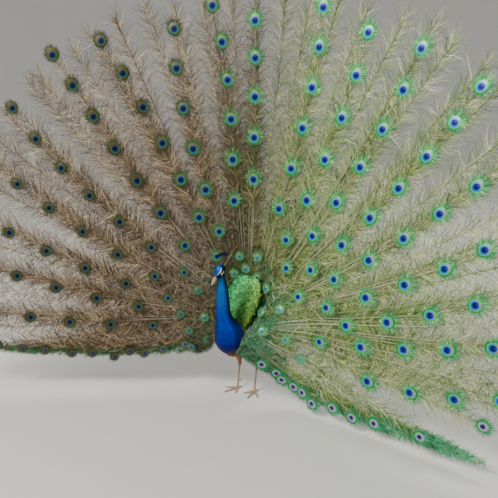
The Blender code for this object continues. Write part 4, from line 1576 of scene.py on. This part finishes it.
def make_bill():
    # Horn worn smooth by feeding: a soft polish
    look = tinted_keratin("bill_horn", 0.38, 0.0, 1.5, 0.12, coat_weight=0.15)
    for name, rows, shape in (("bill_upper", BILL_UPPER, nostrils), ("bill_lower", BILL_LOWER, None)):
        ahead, mid, wide, high = table(rows, 60)
        loft = np.stack([0 * ahead, -ahead, mid], 1), X, Z, wide, high, 28
        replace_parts(horn(name + "_horn", look, HEAD, loft, bill_tones, shape), name)


def eye_tones(turn):
    """Black pupil, dark brown iris and its darker edge, by degrees from the eye's axis."""
    return layered("#020202", ("#4a2a14", smooth(21, 25, turn)), ("#24130a", smooth(36, 42, turn)),
                   ("#050403", smooth(42, 46, turn)))


def make_eyes():
    """Balls with a slight swell of clear wet cornea, ringed closely where the iris lies."""
    # A pigmented iris under a wet cornea: dark, with one sharp glint
    look = tinted_keratin("wet_eye", 0.06, 0.0, 0.8, 0.2, coat_weight=1.0)
    angles = np.radians((0, 8, 16, 21, 23, 25, 31, 37, 42, 45, 52, 65, 80, 100, 130, 160, 180))
    for side, name in ((1, "eye_left"), (-1, "eye_right")):
        centre, axis = eye_place(side)
        across = unit(np.cross(axis, Z))
        bulge = EYE_RADIUS * (1 + 0.035 * np.exp(-(angles / 0.45) ** 2))
        wide = np.maximum(bulge * np.sin(angles), 1e-5)
        loft = (centre + axis * (bulge * np.cos(angles))[:, None], across, np.cross(across, axis),
                wide, wide, 40)

        def rings(p, centre=centre, axis=axis):
            return eye_tones(np.degrees(np.arccos(np.clip(unit(p - centre) @ axis, -1, 1))))

        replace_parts(horn(name + "_ball", look, HEAD, loft, rings), name)


def make_spurs(look):
    """A short, upturned horn spur low on the inner back of each shank."""
    for name, (foot, _) in FEET.items():
        side = 1 if foot[0] > 0 else -1
        start = np.array(foot) + (-0.003 * side, 0.006, 0.046)
        t, thick = table(((0, 0.0040), (0.3, 0.0034), (0.7, 0.0020), (1, 0.0005)), 20)
        bend = np.stack([-0.010 * side * t, 0.017 * t, 0.006 * t ** 2], 1)
        horn("spur_%s_horn" % name, look, BODY, (start + bend, X, Z, thick, thick, 16),
             lambda p: layered("#6a5c4c", ("#3a3028", smooth(0.05, 0.056, p[:, 2]))))


def make_claws():
    # Horn scratched by the ground: darker, and duller than the bill
    look = tinted_keratin("claw_horn", 0.42, 0.0, 1.0, 0.15)
    make_spurs(look)
    for name in FEET:
        for label, start, ahead, length, size in toes(name):
            tip = start + ahead * (length - 0.0045)
            t, wide, height = table(CLAW, 24)
            thick = TOE_RADIUS * size
            centres = tip + ahead * (0.0165 * t)[:, None] + Z * (thick * height)[:, None]
            node = "foot_%s_claw_%s" % (name, label)
            made = horn(node + "_horn", look, BODY,
                        (centres, beside(ahead), Z, thick * wide, thick * wide * 1.1, 14),
                        lambda p: layered("#4c4036", ("#1d1814", smooth(0.004, 0.0, p[:, 2]))))
            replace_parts(made, node)


# Crest, tail and wing quills ----------------------------------------------------------------

def grow_vane(heap, path, across, front, half, tones, spots):
    """A flat feather vane along a path, a little cupped, paler at its shaft."""
    k = len(path)
    points, shade, patch = [], [], []
    for s in (-1.0, -0.55, -0.08, 0.08, 0.55, 1.0):
        ripple = 1 + 0.06 * rng.standard_normal(k) * abs(s)
        cup = front * (half * 0.22 * s * s)[:, None]
        points.append(path + across * (half * s * ripple)[:, None] - cup)
        shade.append(tones * (0.9 + 0.2 * rng.random(k))[:, None] * (1.25 if abs(s) < 0.1 else 1.0))
        patch.append(spots + (SPOT * (s + 1) / 2, 0) + np.linspace(0, SPOT, k)[:, None] * (0, 1))
    points, shade, patch = (np.concatenate(np.stack(rows, 1))[None] for rows in (points, shade, patch))
    heap.add(points, grid(k, 6), [], shade, patch)


def vane_half(t, wide, base, begin, power, least):
    """Half width along a vane: opens from its base and rounds off past where it begins to close."""
    closing = ((t - begin) / (1 - begin)) ** power * (t > begin)
    return wide * smooth(0.0, base, t) * np.sqrt(np.clip(1 - closing, 0.02, 1)) + least


def grow_crest_shaft(heap, share):
    """One bare shaft of the crest with its paddle; share runs from front to back."""
    angle = math.radians(50 + 25 * (2 * share - 1) + rng.normal(0, 1.2))
    tilt = rng.normal(0, 0.07)
    run = unit(np.array((math.sin(tilt), math.sin(angle), math.cos(angle))))
    length = 0.0035 + 0.060 * (0.90 + 0.08 * rng.random())
    root = CREST_ROOT + np.array((rng.normal(0, 0.0018), (share - 0.5) * 0.004, (0.5 - share) * 0.003))

    def along(t):
        return placed(HEAD, root + run * (length * t)[:, None] + CREST_SAG * (t ** 2)[:, None])

    t = np.linspace(-0.10, 0.86, 9)
    path = along(t)
    ahead, side, front = turned(HEAD, run), turned(HEAD, unit(np.cross(run, X))), turned(HEAD, X)
    spot = np.array((0.05 + 0.9 * share, 0.05))
    tones = layered("#8c7f6c", ("#2c3c48", smooth(0.3, 0.9, t)))
    grow_shaft(heap, path, front, 0.00042 - 0.0002 * smooth(0, 1, t), tones, spot)
    count = 34
    fan = rng.uniform(-0.95, 0.95, count)
    start = path[-1] - ahead * (0.010 * rng.random(count))[:, None]
    colour = layered("#02081c", ("#0a2c5c", rng.random(count) ** 2))
    grow_barbs(heap, start, ahead, side, front, np.sign(fan), 0.0105 * (0.7 + 0.3 * rng.random(count)),
               0.0018, np.abs(fan), 0.1, rng.normal(0, 0.05, count), rng.normal(0, 0.3, count),
               colour, spot + (0, 0.1))
    count = 16
    start = along(rng.uniform(0.15, 0.8, count))
    grow_barbs(heap, start, ahead, side, front, np.sign(rng.normal(0, 1, count)), 0.0040, 0.0005, 0.5,
               0.2, rng.normal(0, 0.1, count), rng.normal(0, 0.3, count), linear("#4a4a48"),
               spot + (0, 0.2))


def make_crest():
    """A fan of wiry, nearly bare shafts, each with a small blue-green paddle."""
    # Bare shafts, with barbules only at their ends: wiry, then a faint blue-green glint
    look = tinted_keratin("crest_barbs", 0.4, 0.3, 1.5, 0.2)
    heap = Heap()
    for share in np.arange(CREST_SHAFTS) / (CREST_SHAFTS - 1):
        grow_crest_shaft(heap, share)
    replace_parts(heap.piece("crest_feathers", look, "crest_plumage"), "crest")


CREST_SHAFTS = 24
CREST_ROOT = np.array((0, 0.0275, 0.0150))
CREST_SAG = np.array((0, 1, -0.6)) * 0.004
TAIL_QUILLS = 20
TAIL_ROOT = np.array((0.018, 0.150, 0.405))
TAIL_RADIUS = 0.46


def make_tail():
    """Stiff, plain brown quills that stand behind the train."""
    # Closed vanes of pigmented keratin: matt brown, with fine bars
    look = tinted_keratin("stiff_tail_quills", 0.55, 0.0, 4.0, 0.22)
    heap = Heap()
    for k in range(TAIL_QUILLS):
        share = k / (TAIL_QUILLS - 1)
        angle = math.radians(30 + 120 * share)
        long = TAIL_RADIUS * (0.93 + 0.05 * math.sin(math.pi * share)) + rng.normal(0, 0.003)
        reach = np.linspace(0.03, long, 22)
        flat = 0 * reach
        out = np.stack([flat + math.cos(angle), 0.10 + 0.05 * reach, flat + math.sin(angle)], 1)
        path = TAIL_ROOT + out * reach[:, None] + np.array((0, 0.0012 * (k % 3), 0))
        path = placed(BODY, path)
        run = unit(np.gradient(path, axis=0))
        across = unit(np.cross(run, turned(BODY, (0, -1.0, 0.1))))
        front = np.cross(across, run)
        t = (reach - 0.03) / (long - 0.03)
        tones = layered("#4b3a28", ("#6f573c", 0.5 + 0.5 * np.sin(t * 60 + k)))
        spots = np.stack([flat + (0.03 + 0.046 * k), 0.05 + 0.9 * t], 1)
        grow_vane(heap, path, across, front, vane_half(t, 0.022, 0.35, 0.55, 6, 0.0015), tones, spots)
        thick = 0.0013 * (1 - 0.75 * t) + 0.0002
        grow_shaft(heap, path - front * 0.0006, front, thick, linear("#cbb48c"), spots)
    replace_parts(heap.piece("tail_quills", look, "brown_plumage"), "tail")


def make_quills():
    """The long rust-brown flight feathers of the two drooping wings."""
    # Closed vanes of pigmented keratin: matt rust, paler to the tip
    look = tinted_keratin("rust_brown_flight_quills", 0.55, 0.0, 3.0, 0.2)
    heap = Heap()
    for side in (1, -1):
        front = unit(np.array((side, 0, 0.1)))
        for k in range(11):
            start = through(WING[:, :3], 1.6 + 0.22 * k)
            end = through(WING[:, :3], min(4.0 + 0.19 * k, 5.95))
            drop = np.array((0, 0, -0.030 + 0.030 * k / 10))
            t = np.linspace(0, 1, 16)
            path = start + (end + drop - start) * t[:, None] + np.array((0.006 + 0.0006 * k, 0, 0))
            path = path * (side, 1, 1)
            across = unit(np.cross(unit(np.gradient(path, axis=0)), front))
            tones = layered("#7c4420", ("#b0703a", t)) * (0.9 + 0.2 * rng.random())
            spots = np.stack([0 * t + (0.04 + 0.08 * k), 0.05 + 0.4 * t + (0.5 if side > 0 else 0)], 1)
            facing = turned(BODY, np.tile(front, (16, 1)))
            grow_vane(heap, placed(BODY, path), turned(BODY, across), facing,
                      vane_half(t, 0.0105, 0.3, 0.6, 4, 0.001), tones, spots)
            thick = 0.0010 * (1 - 0.7 * t) + 0.0002
            grow_shaft(heap, placed(BODY, path + front * 0.0006), facing, thick, linear("#5a3a22"), spots)
    heap.piece("wing_quills", look, "brown_plumage")


# Stage --------------------------------------------------------------------------------------

def make_stage():
    """A pale floor that sweeps up into a pale wall far behind."""
    # Wall paint, rolled on: matt, with faint broad clouds
    paint, tree, shader = blank("pale_matte_paint", 0.9)
    place = add(tree, "TexCoord")
    grain = add(tree, "TexNoise", {"Scale": 3.0}, [("Vector", place.outputs["Object"])])
    tints = {"data_type": "RGBA", 6: rgba("#dad8d4"), 7: rgba("#dfdeda")}
    tint = add(tree, "Mix", tints, [(0, grain.outputs["Fac"])])
    tree.links.new(tint.outputs[2], shader.inputs["Base Color"])
    bm = bmesh.new()
    flat, curve, wall_top = 9.0, 3.0, 14.0
    profile = [(0.0, 0.0), (6.0, 0.0), (flat, 0.0)]
    profile += [(flat + curve * math.sin(t), curve - curve * math.cos(t))
                for t in np.linspace(0.1, math.pi / 2, 14)]
    profile.append((flat + curve, wall_top))
    line = [bm.verts.new((far, 0.0, high - 0.0002)) for far, high in profile]
    edges = [bm.edges.new(pair) for pair in zip(line, line[1:])]
    bmesh.ops.spin(bm, geom=line + edges, cent=(0, 0, 0), axis=(0, 0, 1), angle=2 * math.pi, steps=72)
    bmesh.ops.remove_doubles(bm, verts=bm.verts, dist=1e-5)
    bmesh.ops.recalc_face_normals(bm, faces=bm.faces)
    bmesh.ops.reverse_faces(bm, faces=bm.faces)
    mesh = mesh_of(bm, "floor")
    mesh.shade_smooth()
    floor = bpy.data.objects.new("floor", mesh)
    floor.data.materials.append(paint)
    bpy.context.scene.collection.objects.link(floor)


def lamp(name, place, aim, power, size, colour):
    data = bpy.data.lights.new(name, "AREA")
    data.energy = power
    data.size = size
    data.color = colour
    thing = bpy.data.objects.new(name, data)
    thing.location = place
    thing.rotation_euler = (Vector(aim) - Vector(place)).to_track_quat("-Z", "Y").to_euler()
    bpy.context.scene.collection.objects.link(thing)


def make_light():
    world = bpy.data.worlds.new("studio")
    world.use_nodes = True
    sky = world.node_tree.nodes["Background"]
    sky.inputs["Color"].default_value = (0.92, 0.96, 1.0, 1)
    sky.inputs["Strength"].default_value = 0.55
    bpy.context.scene.world = world
    lamp("key", (-2.2, -3.6, 4.6), (0.1, 0.1, 0.8), 330, 1.6, (1.0, 0.97, 0.92))
    lamp("fill", (3.8, -3.2, 2.4), (0, 0.1, 0.7), 50, 2.5, (0.95, 0.98, 1.0))
    lamp("back", (1.5, 3.2, 4.2), (0, 0.1, 0.9), 120, 2.0, (1.0, 0.98, 0.94))


def make_camera():
    """Looks down on the bird from its front left."""
    away, height, round_left, down = 3.278, 1.717, math.radians(19.074), math.radians(15.846)
    sensor_width, focal_share, side_shift = 36.0, 1.36546185, 0.0086686747
    data = bpy.data.cameras.new("camera")
    data.sensor_width = sensor_width
    data.lens = sensor_width * focal_share
    data.shift_x = side_shift
    camera = bpy.data.objects.new("camera", data)
    camera.location = (math.sin(round_left) * away, STANCE_Y - math.cos(round_left) * away, height)
    camera.rotation_euler = (math.pi / 2 - down, 0, round_left)
    bpy.context.scene.collection.objects.link(camera)
    bpy.context.scene.camera = camera


make_camera()
make_light()
make_stage()
make_train()
make_coat(make_skin())
make_bill()
make_eyes()
make_claws()
make_crest()
make_tail()
make_quills()
